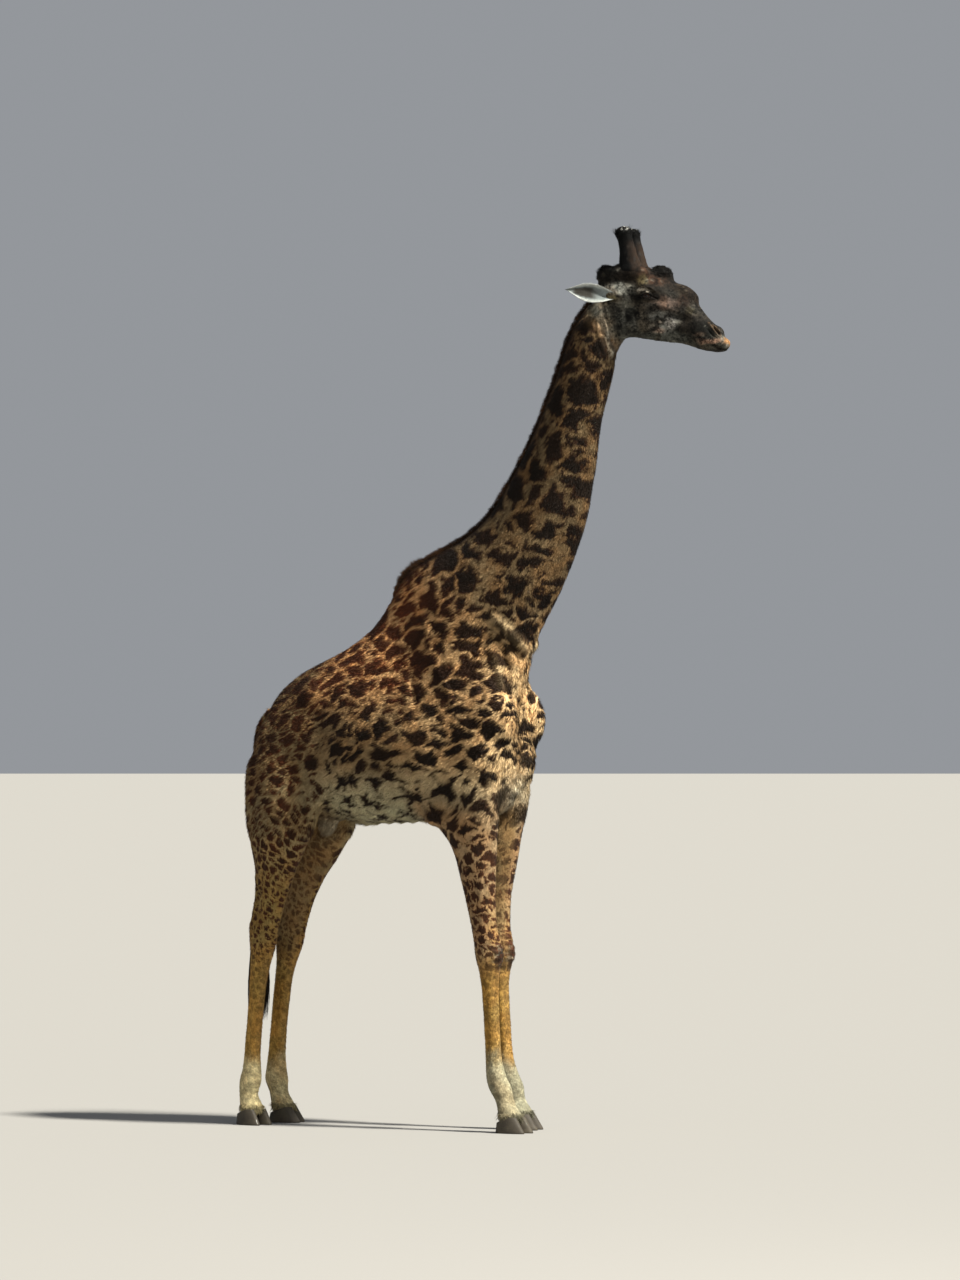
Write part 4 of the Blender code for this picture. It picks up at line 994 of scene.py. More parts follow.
def paint(points, normals):
    # what the coat's material reads: ground and patch colours, the patches' traits and their place
    x, _, z = points.T
    face, neck, hind, leg, inward, under = regions(points, normals)
    at = ontoLeft(points)
    fore = x > -0.7
    trunk = (1 - neck) * (1 - face)
    ahead = ramp(x, -0.5, -0.15)
    top = ramp(z, 2.2, 2.62) * trunk * (1 - 0.85 * ahead * fall(z, 2.75, 3.05))
    breast = ramp(x, 0.02, 0.24) * ramp(z, 1.75, 2) * fall(z, 2.6, 3)
    brisket = softBall(points, (0.16, 0, 1.83), (0.11, 0.15, 0.15), 1)
    forward = ramp(normals[:, 0], 0.2, 0.8)
    inner = inward * ramp(z, 0.75, 1.2) * fall(z, 1.75, 2)
    # the back's and the shoulders' grounds are paler as painted sunlight, the neck's darker as painted shade
    ground = towards(
        palette["flankGround"] + 0 * points,
        ("sunlitShoulderGround", ahead * trunk),
        ("sunlitBackGround", top * 0.9),
        ("bellyGround", fall(z, 1.72, 2.1) * trunk * (1 - hind * 0.6)),
        ("rumpGround", hind * ramp(z, 1.5, 2)),
        ("neckGroundShaded", neck),
        ("breastGround", breast * 0.8),
        ("gaskinGround", leg * (x < -0.7)),
        ("forearmGround", leg * fore),
        ("brisket", brisket * 0.85),
        ("shinGround", fall(z, 0.8, 1.05)),
        ("shinFront", forward * fall(z, 0.9, 1.4) * 0.75),
        ("innerLeg", np.clip(inner + under * hind * (z > 1.3), 0, 1)),
    )
    sockTop = 0.37 + 0.09 * lumps(points, 0.06, 21, 3) + np.where(fore, 0.05, 0)
    # pale socks, darker on the forelegs as painted shade and paler on the hind legs as painted light
    sock = np.where(fore[:, None], palette["shadedForeSock"], palette["sunlitHindSock"])
    ground = ground + (sock - ground) * fall(z - sockTop, -0.09, 0.05)[:, None]
    dirt = fall(z, 0.1, 0.36) * ramp(lumps(points, 0.045, 23, 3) - 0.5 * normals[:, 0], -0.1, 0.7)
    ground = towards(ground, ("dirt", dirt * 0.5), ("coronet", fall(z, 0.075, 0.12) * 0.5))
    for side in (-1, 1):
        pad = poseLeg(legOn("fore", side), np.array([[0.15, side * 0.15, 0.975]]))[0]
        callus = softBall(points, pad, (0.055, 0.055, 0.085))
        creased = callus * ramp(lumps(points * (1, 1, 2), 0.02, 25, 3), 0.15, 0.45)
        ground = towards(ground, ("callus", callus), ("kneeCreases", creased))
    pouch = softBall(points, (-1, 0, 1.7), (0.1, 0.09, 0.15))
    ground = towards(ground, ("scrotum", pouch))
    # painted shade on the neck: its ground is darkened further, most from z 2.9 up
    ground = ground * (1 - (0.3 * ramp(z, 2.9, 3.6) + 0.06 * ramp(z, 3.8, 4.3)) * neck)[:, None]
    bare = np.zeros(len(points))
    # painted shade in the body's folds and painted highlights along their edges, with fewer patches there
    for name, _, (width, strength), (colour,) in foldShadeAndHighlightLines:
        path = throughRows(paths[name], 3)
        line = strength * np.exp(-((distanceToPath(at, path) / width) ** 2)) * pathFade(at, path)
        ground = towards(ground, (colour, line))
        bare = np.maximum(bare, line * (0.9 if name.endswith("lip") else 0.4))
    shade = 1 + 0.14 * lumps(points, 0.2, 5)[:, None] + 0.1 * lumps(points, 0.045, 6)[:, None]
    ground = ground * (shade + lumps(points, 0.12, 9)[:, None] * np.array([0.02, -0.04, -0.1]))

    patch = towards(
        palette["flankPatch"] + 0 * points,
        ("backPatch", top * 0.8),
        ("neckPatch", neck),
        ("rumpPatch", hind),
        ("legPatch", fall(z, 1.15, 1.85)),
    ) * (1 + 0.35 * lumps(points, 0.1, 8)[:, None])

    wobble = joined(*(lumps(points, 0.034, 50 + k, 3) for k in range(3))) * 0.016
    fold = np.exp(-((distanceToPath(at, paths["first throat fold"]) / 0.03) ** 2))
    ground = ground + (paintHead(points, at, wobble) - ground) * np.maximum(face, (z > 4.2) * fold)[:, None]
    nape = np.where(z > 2.5, fall(napeDistance(points), 0.03, 0.095), 0) * (1 - face)
    ground = towards(ground, ("nape", nape * 0.85))

    # traits of the patches: width of the gaps in cells, raggedness, strength; and how much they are stars
    upper = ramp(z, 2.1, 2.7) * trunk
    belly = fall(z, 1.8, 2.16) * trunk * (1 - leg)
    width = 0.044 + 0.04 * neck * ramp(z, 2.6, 3.3) * fall(z, 3.7, 4) + 0.015 * neck
    width = width + 0.012 * hind * ramp(z, 1.7, 2) + 0.02 * breast + 0.02 * belly
    width = width + 0.085 * leg * fall(z, 1.15, 1.75) * (x < -0.7) + 0.05 * inner
    ragged = 0.95 + 0.25 * upper - 0.2 * hind * ramp(z, 1.6, 1.9) - 0.45 * belly + 0.35 * neck
    ragged = ragged + 0.5 * leg * fall(z, 1.2, 1.7)
    star = belly * (1 - 0.75 * hind) + (0.26 + 0.1 * ahead) * trunk * (1 - hind) * (1 - 0.6 * upper)
    star = star + 0.03 * leg * fore + 0.25 * leg * (x < -0.7) * fall(z, 1.2, 1.6)
    strength = (1 - ramp(-z, -1.05, -0.8) * 0.75) * fall(-z, -0.75, -0.5) * (1 - 0.45 * inner)
    strength = strength * (1 - pouch) * (1 - 0.3 * brisket) * (1 - face) * (1 - 0.85 * bare)
    return {
        "place": points,
        "pattern": patternPlace(points),
        "ground": opaque(np.clip(ground, 0.002, 1)),
        "patch": opaque(np.clip(patch, 0.002, 1)),
        "traits": joined(width, ragged, strength),
        "star": np.clip(star, 0, 1),
        "blotched": 0.85 * face + 0.22 * fall(z, 0.85, 1.2) + 0.24,
    }


def blurred(row):
    # each value made the mean of nine around it
    return np.convolve(np.pad(row, 4, "edge"), np.ones(9) / 9, "valid")


# spots where the pattern is spread, or drawn together where the share is less than 0: larger stars on the
# belly, smaller patches on the breast; place and reach along x and z
patternSpots = [(-0.45, 1.78, 0.5, 0.24, 0.36), (0.2, 2.25, 0.2, 0.34, -0.45)]


def patternPlace(points):
    # the body's points in units of patches: cells per metre g(x) h(z), summed up along x and z so that sizes
    # change without a break; below the belly and on the neck the widths grow about the limb's own axis
    x, y, z = points.T
    xs, zs = np.linspace(-1.5, 1.5, 61), np.linspace(-0.1, 5.1, 105)
    g = blurred(1 / np.interp(xs, patchSizes["x"], patchSizes["trunk"]))
    along = np.cumsum(g) * (xs[1] - xs[0])
    here = np.interp(x, xs, g)
    out = np.zeros((len(points), 3))
    # the belly is unrolled: its width counts as height there
    under = np.maximum(0.28 - np.abs(y), 0) * fall(z, 1.72, 2.02)
    under = under * ramp(x, -1.05, -0.85) * fall(x, -0.35, -0.15)
    thin = 0.6 - (0.22 - 0.34 * ramp(x, 0, 0.22)) * ramp(z, 1.6, 2) * fall(z, 2.6, 3.2)
    neckZ, neckX = bodyRows[12:, 1], (bodyRows[12:, 0] + bodyRows[12:, 2]) / 2
    low = z < 2.2
    climbs = {}
    for kind, rows, chosen in (("fore", forelegRows, x >= -0.7), ("hind", hindlegRows, x < -0.7)):
        h = blurred(np.interp(zs, patchSizes["z"], patchSizes[kind]))
        climb = np.cumsum(h * np.interp(zs, patchSizes["z"], patchSizes["flatter"])) * (zs[1] - zs[0])
        climbs[kind] = climb = climb - np.interp(2.15, zs, climb)
        height, rear, front, _, middle = rows[::-1].T
        axisX = np.where(low, np.interp(z, height, (rear + front) / 2), np.interp(z, neckZ, neckX))
        axisY = np.where(low, np.interp(z, height, middle) * np.sign(y), 0)
        grow = np.interp(z, zs, h) - 1
        mapped = [np.interp(x, xs, along) + (x - axisX) * grow * here, (y + (y - axisY) * grow) * here * thin,
                  np.interp(z - 0.9 * under, zs, climb) * here]
        out[chosen] = joined(*mapped)[chosen]
    for spotX, spotZ, reachX, reachZ, share in patternSpots:
        spotUp = np.interp(spotZ, zs, climbs["fore"]) * np.interp(spotX, xs, g)
        near = np.exp(-(((x - spotX) / reachX) ** 2) - ((z - spotZ) / reachZ) ** 2)
        out = out + (np.array([np.interp(spotX, xs, along), 0, spotUp]) - out) * share * near[:, None]
    return out


def napeDistance(points):
    # distance in the upright plane to the neck's and the withers' crest line
    crest = bodyRows[9:, :2]
    crest = joined(crest[:, 0], 0 * crest[:, 0], crest[:, 1])
    return distanceToPath(points * (1, 0.8, 1), crest)


def dressMesh(mesh, places, normals, corners=1, tone=None):
    # writes what the coat's material reads; a tuft's corners all take its root's place and colours
    for key, values in paint(places, normals).items():
        addAttribute(mesh, key, np.repeat(values, corners, axis=0))
    addAttribute(mesh, "tone", np.ones(len(places) * corners) if tone is None else tone)


# a socket of a shader tree: arithmetic on it adds Math nodes, add() makes any other node
class Flow:
    def __init__(self, tree, socket=None):
        self.tree, self.socket = tree, socket

    def add(self, kind, settings=(), sockets=(), out=0):
        # a node of any kind: its settings first, then a value or a link for each socket
        made = self.tree.nodes.new("ShaderNode" + kind)
        for name, value in dict(settings).items():
            setattr(made, name, value)
        for name, value in dict(sockets).items():
            if isinstance(value, Flow):
                self.tree.links.new(value.socket, made.inputs[name])
            else:
                made.inputs[name].default_value = value
        return Flow(self.tree, made.outputs[out])

    def attribute(self, name, out=0):
        # a mesh attribute: out is 0 for a colour, 1 for a vector, 2 for a number
        return self.add("Attribute", {"attribute_name": name}, out=out)

    def output(self, name):
        # another output of the same node
        return Flow(self.tree, self.socket.node.outputs[name])

    def maths(self, operation, *others, turnedRound=False):
        # a Math node; turned round, the others come first
        values = (*others, self) if turnedRound else (self, *others)
        return self.add("Math", {"operation": operation}, dict(enumerate(values)))

    def vector(self, operation, *others):
        return self.add("VectorMath", {"operation": operation}, dict(enumerate((self, *others))))

    def mix(self, first, second, share):
        # colours: the first where share is 0, the second where it is 1
        first, second = (c if isinstance(c, Flow) else (*c, 1) for c in (first, second))
        return self.add("Mix", {"data_type": "RGBA"}, {0: share, 6: first, 7: second}, 2)

    def parts(self):
        # the three numbers of a vector or colour
        node = self.add("SeparateXYZ", {}, {0: self})
        return [node.output(k) for k in range(3)]

    def scaled(self, factor):
        # a colour made lighter or darker by a number
        return self.add("VectorMath", {"operation": "SCALE"}, {0: self, 3: factor})

    def __add__(self, other):
        return self.maths("ADD", other)

    def __sub__(self, other):
        return self.maths("SUBTRACT", other)

    def __mul__(self, other):
        return self.maths("MULTIPLY", other)

    def __truediv__(self, other):
        return self.maths("DIVIDE", other)

    def __rsub__(self, other):
        return self.maths("SUBTRACT", other, turnedRound=True)

    __radd__, __rmul__ = __add__, __mul__  # their order makes no difference

    def step(self, low, high):
        # 0 below low, 1 above high, smooth between
        settings = {"interpolation_type": "SMOOTHSTEP"}
        return self.add("MapRange", settings, {0: self, 1: low, 2: high, 3: 0, 4: 1})

    def stretched(self, *scale):
        return self.add("Mapping", {}, {"Vector": self, "Scale": scale})

    def noise(self, scale, detail=2, rough=0.5, out=0):
        sockets = {"Vector": self, "Scale": scale, "Detail": detail, "Roughness": rough}
        return self.add("TexNoise", {}, sockets, out)

    def bump(self, strength, distance):
        return self.add("Bump", {}, {"Strength": strength, "Distance": distance, "Height": self})

    def plug(self, name):
        # into the material's Principled shader
        self.tree.links.new(self.socket, self.tree.nodes["Principled BSDF"].inputs[name])


def newMaterial(name, roughness, shine=0.5, constants=()):
    # an empty tree around a Principled shader whose constants are set on its own sockets
    made = bpy.data.materials.new(name)
    made.use_nodes = True
    for socket, value in {"Roughness": roughness, "Specular IOR Level": shine, **dict(constants)}.items():
        made.node_tree.nodes["Principled BSDF"].inputs[socket].default_value = value
    return made, Flow(made.node_tree)


coatLook = dict(
    broadWarp=0.9,  # how far the patches wander, in cells
    lobeWarp=0.74,  # higher: more deeply lobed
    fineWarp=0.34,
    edgeNoise=0.24,
    starMiddle=0.36,  # higher: larger stars
    starArms=0.9,
    edgeSoft=0.045,
    hairBump=0.0022,
)


def coatMaterial(name, isHair=False):
    # patches are cells of a warped Voronoi pattern: value = distance to the cell's edge - gap, drawn into
    # arms about the cell's middle where they are stars, plus ragged noise; dark where it is above 0
    s = coatLook
    made, flow = newMaterial(name, 0.72, 0.08, {"Sheen Weight": 0.02, "Sheen Roughness": 0.5})
    place, pattern = flow.attribute("place", 1), flow.attribute("pattern", 1)
    ground, patch = flow.attribute("ground"), flow.attribute("patch")
    star, tone = flow.attribute("star", 2), flow.attribute("tone", 2)
    width, ragged, strength = flow.attribute("traits", 1).parts()

    warped = pattern
    for scale, detail, reach in ((0.62, 1, s["broadWarp"]), (1.45, 1, s["lobeWarp"]),
                                 (3.4, 2, ragged * s["fineWarp"])):
        wander = pattern.noise(scale, detail, 0.55, out=1).vector("SUBTRACT", (0.5, 0.5, 0.5))
        warped = warped.vector("ADD", wander.scaled(reach))
    cells = {"Vector": warped, "Scale": 1, "Randomness": 0.92}
    edge = flow.add("TexVoronoi", {"feature": "DISTANCE_TO_EDGE"}, cells)
    middle = flow.add("TexVoronoi", {"feature": "F1"}, cells)
    chance, armChance, _ = middle.output("Color").parts()
    dx, dy, dz = warped.vector("SUBTRACT", middle.output("Position")).parts()
    near = (dx * dx + dz * dz + dy * dy * 0.15).maths("SQRT")
    angle = dz.maths("ARCTAN2", dx + dy * 0.3)
    count = (armChance * 3).maths("FLOOR") + 4
    arms = (angle * count + chance * 6.283).maths("SINE")
    sharp = (arms * 0.5 + 0.5).maths("POWER", 4)
    starred = s["starMiddle"] - near * (1.25 - sharp * s["starArms"])
    starred = starred.maths("MINIMUM", edge * 1.3 - 0.085)
    value = edge - width
    value = value + (starred - value) * star
    rough = pattern.noise(5.5, 3, 0.62) - 0.5
    hairy = pattern.stretched(1, 1, 0.5).noise(21, 1, 0.5) - 0.5
    value = value + (rough * ragged * (s["edgeNoise"] * 1.3) + hairy * 0.2) * (1 - star * 0.5)
    mask = value.step(-s["edgeSoft"] * 0.6, s["edgeSoft"]) * strength

    strand = place.stretched(1, 1, 0.35).noise(260, 2, 0.6)
    mottle = place.noise(42, 3, 0.6)
    rust = (chance * 0.9 + mottle * 0.4).step(0.55, 1.25)
    core = (value + (mottle - 0.5) * 0.16).step(0.01, 0.12)
    rusty = flow.mix(patch, patch.vector("MULTIPLY", (1.9, 1.4, 1.1)), rust * 0.6)
    dark = flow.mix(patch.vector("MULTIPLY", (2.6, 1.7, 1.2)), rusty, core)
    gap = (0 - value).step(0, 0.1)
    warmth = place.noise(9, 2, 0.5).step(0.38, 0.66) * (0.8 - star * 0.8)
    pale = flow.mix(ground, ground.vector("MULTIPLY", (1.1, 0.9, 0.74)), warmth).scaled(0.8 + gap * 0.34)
    shade = (0.62 + mottle * 0.4 + strand * 0.34) * tone
    smudge = place.noise(26, 3, 0.62).step(0.37, 0.65) * 0.9
    smudge = smudge + place.noise(88, 2, 0.6).step(0.36, 0.66) * 0.7
    shade = shade * (1 + (smudge - 0.8) * flow.attribute("blotched", 2))
    flow.mix(pale, dark, mask).scaled(shade.maths("MAXIMUM", 0.08)).plug("Base Color")
    (0.64 + strand * 0.2).plug("Roughness")
    if not isHair:
        (strand * 0.6 + place.noise(150, 3, 0.6) * 0.6).bump(0.6, s["hairBump"]).plug("Normal")
    return made


coat = coatMaterial("giraffeCoat")
coatHair = coatMaterial("giraffeCoatHair", isHair=True)
skinNodes = ["head", "neck_upper", "neck_lower", "trunk"]
for kind in ("fore", "hind"):
    for side in sides.values():
        skinNodes += [f"{kind}leg_{side}_upper", f"{kind}leg_{side}_lower"]


def makeSkin():
    # the fused skin, painted and then posed
    places, normals = pointsOf(skinMesh), normalsOf(skinMesh)
    dressMesh(skinMesh, places, normals)
    setPoints(skinMesh, pose(places))
    skinMesh.materials.clear()
    skinMesh.shade_smooth()
    settle(sceneObject("skin", skinMesh), coat, "coat", *skinNodes)
    return skinMesh, places, normals


skinSurface = makeSkin()  # its mesh, and its places and normals in the straight-headed frame
print("skin painted")


# strands and tufts
def triangleMesh(name, points, triangles, uv):
    # a mesh from arrays of corners and of triangles, with one place on the OFBake map for each corner
    mesh = bpy.data.meshes.new(name)
    mesh.vertices.add(len(points))
    setPoints(mesh, points)
    mesh.loops.add(triangles.size)
    mesh.loops.foreach_set("vertex_index", triangles.astype(np.int32).ravel())
    mesh.polygons.add(len(triangles))
    mesh.polygons.foreach_set("loop_start", np.arange(len(triangles), dtype=np.int32) * 3)
    mesh.update(calc_edges=True)
    layer = mesh.uv_layers.new(name="OFBake")
    layer.data.foreach_set("uv", np.asarray(uv, np.float32)[triangles.ravel()].ravel())
    mesh.shade_smooth()
    return mesh


def strandFaces(count, rows):
    # each strand: rings of three corners up to a single tip, closed at the root
    n = (rows - 1) * 3 + 1
    faces = [(0, 2, 1)]
    for row in range(rows - 2):
        for k in range(3):
            a, b = row * 3 + k, row * 3 + (k + 1) % 3
            faces += [(a, b, b + 3), (a, b + 3, a + 3)]
    faces += [((rows - 2) * 3 + k, (rows - 2) * 3 + (k + 1) % 3, n - 1) for k in range(3)]
    return (np.array(faces)[None] + np.arange(count)[:, None, None] * n).reshape(-1, 3)


def strandPoints(path, across, width, flat=0.5):
    # corners at path + width (across cos a + flat lift sin a), a = 0, 120, 240 degrees, for (count, rows, 3)
    along = unit(np.gradient(path, axis=1))
    across = unit(across[:, None] - along * np.sum(across[:, None] * along, axis=-1, keepdims=True))
    lift = np.cross(along, across)
    a = np.arange(3) * math.tau / 3
    ring = across[:, :, None] * np.cos(a)[:, None] + lift[:, :, None] * (np.sin(a)[:, None] * flat)
    corners = path[:, :, None] + ring * width[:, :, None, None]
    rings = corners[:, :-1].reshape(len(path), -1, 3)
    return np.concatenate([rings, path[:, -1:]], axis=1).reshape(-1, 3)


def patchMap(roots, rows):
    # every strand's corners lie within 0.003 of its root's place on the unwrap
    a = np.arange(3) * math.tau / 3
    ring = joined(np.cos(a) * 0.0013, np.sin(a) * 0.0008)
    climb = np.linspace(-0.0006, 0.0006, rows - 1)[:, None, None] * np.array([0, 1])
    spots = np.concatenate([(ring[None] + climb).reshape(-1, 2), [[0, 0.0015]]])
    return (np.clip(roots, 0.004, 0.996)[:, None] + spots[None]).reshape(-1, 2)


def strandPiece(name, material, slotName, path, across, width, roots, dress):
    # one piece from many strands, which widen across; dress(mesh, corners per strand) adds its colours
    count, rows = path.shape[:2]
    points = pose(strandPoints(path, across, width))
    mesh = triangleMesh(name, points, strandFaces(count, rows), patchMap(roots, rows))
    dress(mesh, (rows - 1) * 3 + 1)
    return settle(sceneObject(name, mesh), material, slotName)


def furPiece(name, material, slotName, strands, out, lie, widths, roots, dress):
    # strands of two rows, each as wide as its draw between two widths
    width = np.repeat(draw(*widths, (len(out), 1)), 2, axis=1)
    strandPiece(name, material, slotName, strands, np.cross(out, lie), width, roots, dress)


def shortStrands(at, out, lie, length, along, rise, sink=0.001):
    # two rows: a root sunk under the skin and a tip at root + length (lie along + out rise)
    return np.stack([at - sink * out, at + (lie * along + out * rise) * length[:, None]], axis=1)


def hanging(direction, out, spread):
    # along the skin in one direction, a little scattered
    lie = direction - out * (out @ direction)[:, None]
    return unit(lie + spread * rng.normal(size=out.shape))


def rootToTip(tone, root, tip, corners=4):
    # a tone for each corner of each strand, lighter at the tip
    return (tone[:, None] * np.array([root] * (corners - 1) + [tip])).ravel()


def aroundAxis(across, up):
    # a turn about an axis as 0 to 1
    return np.arctan2(across, up) / math.tau + 0.5


def scatter(mesh, places, normals, count, density=lambda p, n: 1):
    # evenly spread places over the mesh's triangles, thicker where density says so
    mesh.calc_loop_triangles()
    corners = np.empty(len(mesh.loop_triangles) * 3, np.int32)
    mesh.loop_triangles.foreach_get("vertices", corners)
    corners = corners.reshape(-1, 3)
    a, b, c = (places[corners[:, k]] for k in range(3))
    middles = (a + b + c) / 3
    weight = norm(np.cross(b - a, c - a), axis=1) * density(middles, normals[corners[:, 0]])
    order = np.argsort(lumps(middles, 0.05, 77, 1))
    total = np.cumsum(weight[order])
    chosen = (np.arange(count) + rng.random(count)) / count * total[-1] * 0.999999
    picks = order[np.searchsorted(total, chosen)]
    u, v = rng.random(count), rng.random(count)
    u, v = np.where(u + v > 1, 1 - u, u)[:, None], np.where(u + v > 1, 1 - v, v)[:, None]
    a, b, c = corners[picks].T
    at, out = (field[a] * (1 - u - v) + field[b] * u + field[c] * v for field in (places, normals))
    return at, unit(out)


def lieOfCoat(points, normals):
    # the way the hair points: back from the muzzle, down the neck, back and down the trunk, down the legs
    z = points[:, 2]
    flow = towards(
        (-0.82, 0, -0.57) + 0 * points,
        ((0.05, 0, -1), fall(z, 1.35, 1.95)),
        ((-0.45, 0, -0.89), ramp(pastNeckFoot(points), -0.3, 0.3)),
        ((-0.93, 0, 0.3), ramp(pastPoll(points, 0.7), -0.03, 0.1)),
    )
    flow = flow + 0.35 * joined(*(lumps(points, 0.09, 91 + k) for k in range(3)))
    return unit(flow - normals * np.sum(flow * normals, axis=1, keepdims=True))


# how many, long, wide and raised (in degrees) the tufts of each part of the coat are
tuftSettings = {
    "coat_head": dict(count=34000, length=0.0095, width=0.0017, lift=15),
    "coat_neck": dict(count=46000, length=0.026, width=0.0036, lift=13),
    "coat_front": dict(count=48000, length=0.032, width=0.0048, lift=13),
    "coat_rear": dict(count=48000, length=0.03, width=0.0046, lift=13),
    "coat_forelegs": dict(count=34000, length=0.016, width=0.0028, lift=13),
    "coat_hindlegs": dict(count=34000, length=0.016, width=0.0028, lift=13),
}


def partOf(points):
    # which part of the coat each point belongs to
    x, y, z = points.T
    head = pastPoll(points) > -0.03
    neck = ~head & (pastNeckFoot(points) > 0)
    leg = ~head & ~neck & (z < np.where(x < -0.75, 1.62, 1.72))
    leg &= ~((np.abs(y) < 0.085) & (z > 1.5))
    return np.select([head, neck, leg & (x > -0.7), leg, x > -0.52],
                     ["coat_head", "coat_neck", "coat_forelegs", "coat_hindlegs", "coat_front"], "coat_rear")


def unwrap(part, points):
    # cylinder maps: once round the part's own axis by its length
    x, y, z = points.T
    if part == "coat_head":
        along = (x - 0.7) * 0.92 - (z - 4.56) * 0.39
        up = (x - 0.7) * 0.39 + (z - 4.56) * 0.92
        return joined(aroundAxis(y, up), (along + 0.12) / 0.9)
    if part == "coat_neck":
        axis = np.interp(z, bodyRows[10:, 1], (bodyRows[10:, 0] + bodyRows[10:, 2]) / 2)
        return joined(aroundAxis(y, x - axis), (z - 2.35) / 2.4)
    if part in ("coat_front", "coat_rear"):
        start = -0.54 if part == "coat_front" else -1.46
        return joined(aroundAxis(y, z - 2.15), x - start)
    turn = np.zeros(len(points))
    for slot, side in ((0, 1), (0.5, -1)):
        leg = legOn("fore" if part == "coat_forelegs" else "hind", side)
        height, rear, front, _, middle = leg["rows"][::-1].T
        axis = poseLeg(leg, joined((rear + front) / 2, side * middle, height))
        across = aroundAxis(y - np.interp(z, height, axis[:, 1]), x - np.interp(z, height, axis[:, 0]))
        turn = np.where(y * side > 0, across * 0.5 + slot, turn)
    return joined(turn, z / 1.8)


def bareSkin(points):
    # no tufts on the eyes, the nose's tip and under the coronets
    x, _, z = points.T
    gape = norm(ontoLeft(points) - eyes["centre"], axis=1)
    return (gape < 0.031) | ((x > 1.37) & (z < 4.4)) | (z < 0.075)


def growCoat():
    # short closed spikes lying back over the skin, in one piece for each part of the body
    for part, s in tuftSettings.items():
        count = s["count"]
        at, out = scatter(*skinSurface, count, lambda points, normals: (
            (partOf(points) == part) & ~bareSkin(points)))
        lie = lieOfCoat(at, out)
        small = 1 - 0.45 * ramp(-at[:, 2], -0.5, -0.1) - 0.4 * ramp(at[:, 0], 1, 1.3)
        length = s["length"] * small * draw(0.65, 1.25, count)
        lift = np.radians(s["lift"] * draw(0.4, 1.6, count))[:, None]
        path = shortStrands(at, out, lie, length, np.cos(lift), np.sin(lift), 0.0015)
        across = unit(np.cross(out, lie) + 0.3 * rng.normal(size=at.shape))
        width = np.repeat((s["width"] * small * draw(0.7, 1.2, count) / 2)[:, None], 2, axis=1)
        tone = rootToTip(draw(0.86, 1.1, count), 0.86, 1.12)
        strandPiece(part, coatHair, "coat", path, across, width, unwrap(part, at),
                    lambda mesh, corners: dressMesh(mesh, at, out, corners, tone))
    print("coat grown")


growCoat()


# hooves
hoofShape = dict(
    height=0.088,
    heel=0.055,  # height at the heel
    length=0.2,
    width=0.08,
    cleft=0.006,
    squareness=0.75,  # lower: squarer seen from above
    slope=0.055,
    rings=0.006,
)
hoofRows, hoofRing = 22, 40


def hoofMaterial():
    # grown in bands, dusty in patches
    made, flow = newMaterial("hoofHorn", 0.55, 0.35, {"Coat Weight": 0.06})
    place = flow.add("TexCoord", {}, {}, 3)
    grain = place.noise(60, 4, 0.6)
    bands = (flow.attribute("up", 2) * 95 + grain * 5).maths("SINE")
    dust = place.noise(11, 3, 0.6).step(0.42, 0.68)
    pale = (grain * 0.5 + bands * 0.1 + dust * 0.45).maths("MINIMUM", 1)
    flow.mix((0.022, 0.017, 0.012), (0.08, 0.066, 0.042), pale).plug("Base Color")
    (0.5 + grain * 0.3).plug("Roughness")
    (bands * 0.5 + grain).bump(0.6, 0.0012).plug("Normal")
    return made


def makeClaws():
    # rings like a claw's foot print, tapering up: x = heel + (toe - heel) forward, y = half sin^squareness
    h = hoofShape
    made = hoofMaterial()
    up = np.linspace(0, 1, hoofRows)[:, None]
    t = np.arange(hoofRing)[None] / hoofRing * math.tau
    sine, forward = np.sin(t), (np.cos(t) + 1) / 2
    tuck = 1 - 0.05 * np.clip(1 - up / 0.12, 0, 1) ** 2
    rings = 1 + h["rings"] * np.sin(up * 46 + 1.5 * np.sin(t * 2))
    half = h["width"] / 2 * (1 - 0.1 * up)
    across = half * np.sign(sine) * np.abs(sine) ** h["squareness"] * (1 - 0.35 * forward**3) * tuck * rings
    z = (h["heel"] + (h["height"] - h["heel"]) * np.minimum(1, 1.3 * forward)) * up + 0.0005
    for legName, leg in legs.items():
        _, rear, front, _, middleY = leg["rows"][-2]
        kind, side = legName.split("_")
        for inner, clawName in sides.items():
            toe = (rear + front) / 2 + h["length"] / 2 + 0.022 - h["slope"] * up
            heel = (rear + front) / 2 - h["length"] / 2 + 0.034 + 0.01 * up
            x = heel + (toe - heel) * (0.5 + (forward - 0.5) * tuck * rings)
            y = across + inner * (h["width"] + h["cleft"]) / 2 + leg["side"] * middleY
            grid = poseLeg(leg, joined(x, y, z + 0 * x))
            claw = gridObject(f"claw_{legName}_{clawName}", [grid + placing["shift"]])
            addAttribute(claw.data, "up", np.clip(pointsOf(claw.data)[:, 2] / h["height"], 0, 1))
            settle(claw, made, "hoof", f"hoof_{kind}_{side}_{clawName}_claw")


makeClaws()
print("hooves made")


# eyes
def eyeMaterial():
    # a wide lying pupil in a dark brown iris, glossy as if wet
    made, flow = newMaterial("eyeBall", 0.2, 0.1, {"Coat Weight": 0.15, "Coat Roughness": 0.03})
    black = (0.002, 0.002, 0.002)
    look = flow.attribute("look", 1)
    a, b, _ = look.parts()
    rim = (a * a + b * b).maths("SQRT")
    pupil = (a * a / 0.13 + b * b / 0.035).maths("SQRT")
    streak = look.stretched(14, 14, 2).noise(1.5, 3, 0.7)
    colour = flow.mix((0.014, 0.007, 0.004), (0.009, 0.005, 0.003), streak)
    colour = flow.mix(black, colour, pupil.step(0.95, 1.08))
    colour = flow.mix(colour, black, rim.step(0.6, 0.7))
    flow.mix(colour, (0.012, 0.009, 0.008), rim.step(0.8, 0.88)).plug("Base Color")
    (0.06 + streak * 0.05).plug("Roughness")
    return made


